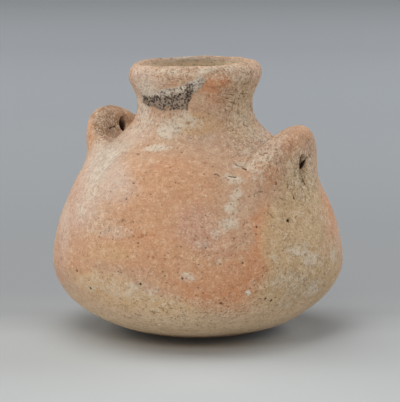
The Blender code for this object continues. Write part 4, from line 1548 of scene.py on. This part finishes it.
stops = ramp.color_ramp.elements
while len(stops) < len(floor["tones"]):
    stops.new(0.5)
for stop, (place, tone) in zip(stops, floor["tones"]):
    stop.position = (place * mm - first) / (last - first)
    stop.color = paint(*tone)
fill(tree, shader, {"Base Color": ramp.outputs["Color"], "Roughness": 0.8, "Specular IOR Level": 0.2})
half = floor["half"]
sheet = np.array([(-half, -half, 0), (half, -half, 0), (half, half, 0), (-half, half, 0)], dtype=float)
ground = newMesh("ground", sheet, np.array([[0, 1, 2, 3]]), {}, floorPaper)
ground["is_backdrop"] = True

# Soft studio light from above and from both sides, two weaker lamps in front, and the room's own.
# Each place is how far to the right, towards the camera and up, in metres
lamps = {
    "above": {"place": (-0.20, -0.15, 1.5), "sizes": (1.4, 1.4), "power": 15.3, "colour": (255, 254, 252)},
    "left": {"place": (-1.3, -0.75, 0.75), "sizes": (1.3, 1.3), "power": 16.5, "colour": (255, 254, 252)},
    "right": {"place": (1.3, -0.75, 0.65), "sizes": (1.3, 1.3), "power": 20.6, "colour": (250, 252, 255)},
    "high": {"place": (-0.3, 0.9, 1.1), "sizes": (0.5, 0.5), "power": 4, "colour": (255, 254, 252)},
    "front": {"place": (-0.35, 1.4, 0.05), "sizes": (0.9, 0.08), "power": 9, "colour": (255, 254, 252)},
}
lampAim = Vector((0, 0, 0.045))
room = {"colour": (236, 240, 245), "strength": 0.05}
for name, lamp in lamps.items():
    light = bpy.data.lights.new(name, "AREA")
    light.shape = "RECTANGLE"
    light.size, light.size_y = lamp["sizes"]
    light.energy = lamp["power"]
    light.color = paint(*lamp["colour"])[:3]
    made = bpy.data.objects.new(name, light)
    right, near, high = lamp["place"]
    made.location = Vector(sideways * right + backward * near) + Vector((0, 0, high))
    made.rotation_mode = "QUATERNION"
    made.rotation_quaternion = (lampAim - made.location).to_track_quat("-Z", "Y")
    bpy.context.scene.collection.objects.link(made)
world = bpy.data.worlds.new("room")
world.use_nodes = True
background = world.node_tree.nodes["Background"]
fill(world.node_tree, background, {"Color": paint(*room["colour"]), "Strength": room["strength"]})
bpy.context.scene.world = world

camera = bpy.data.cameras.new("camera")
camera.sensor_width = view["sensor"]
camera.lens = view["focus"] * view["sensor"] / view["picture"]
camera.clip_end = view["seesTo"]
seeing = bpy.data.objects.new("camera", camera)
seeing.location = Vector(eye) * mm
seeing.rotation_mode = "QUATERNION"
seeing.rotation_quaternion = Vector(forward).to_track_quat("-Z", "Y")
bpy.context.scene.collection.objects.link(seeing)
bpy.context.scene.camera = seeing
bpy.context.scene.view_settings.view_transform = "Standard"
print("stage set")

bpy.context.view_layer.update()
low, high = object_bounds()
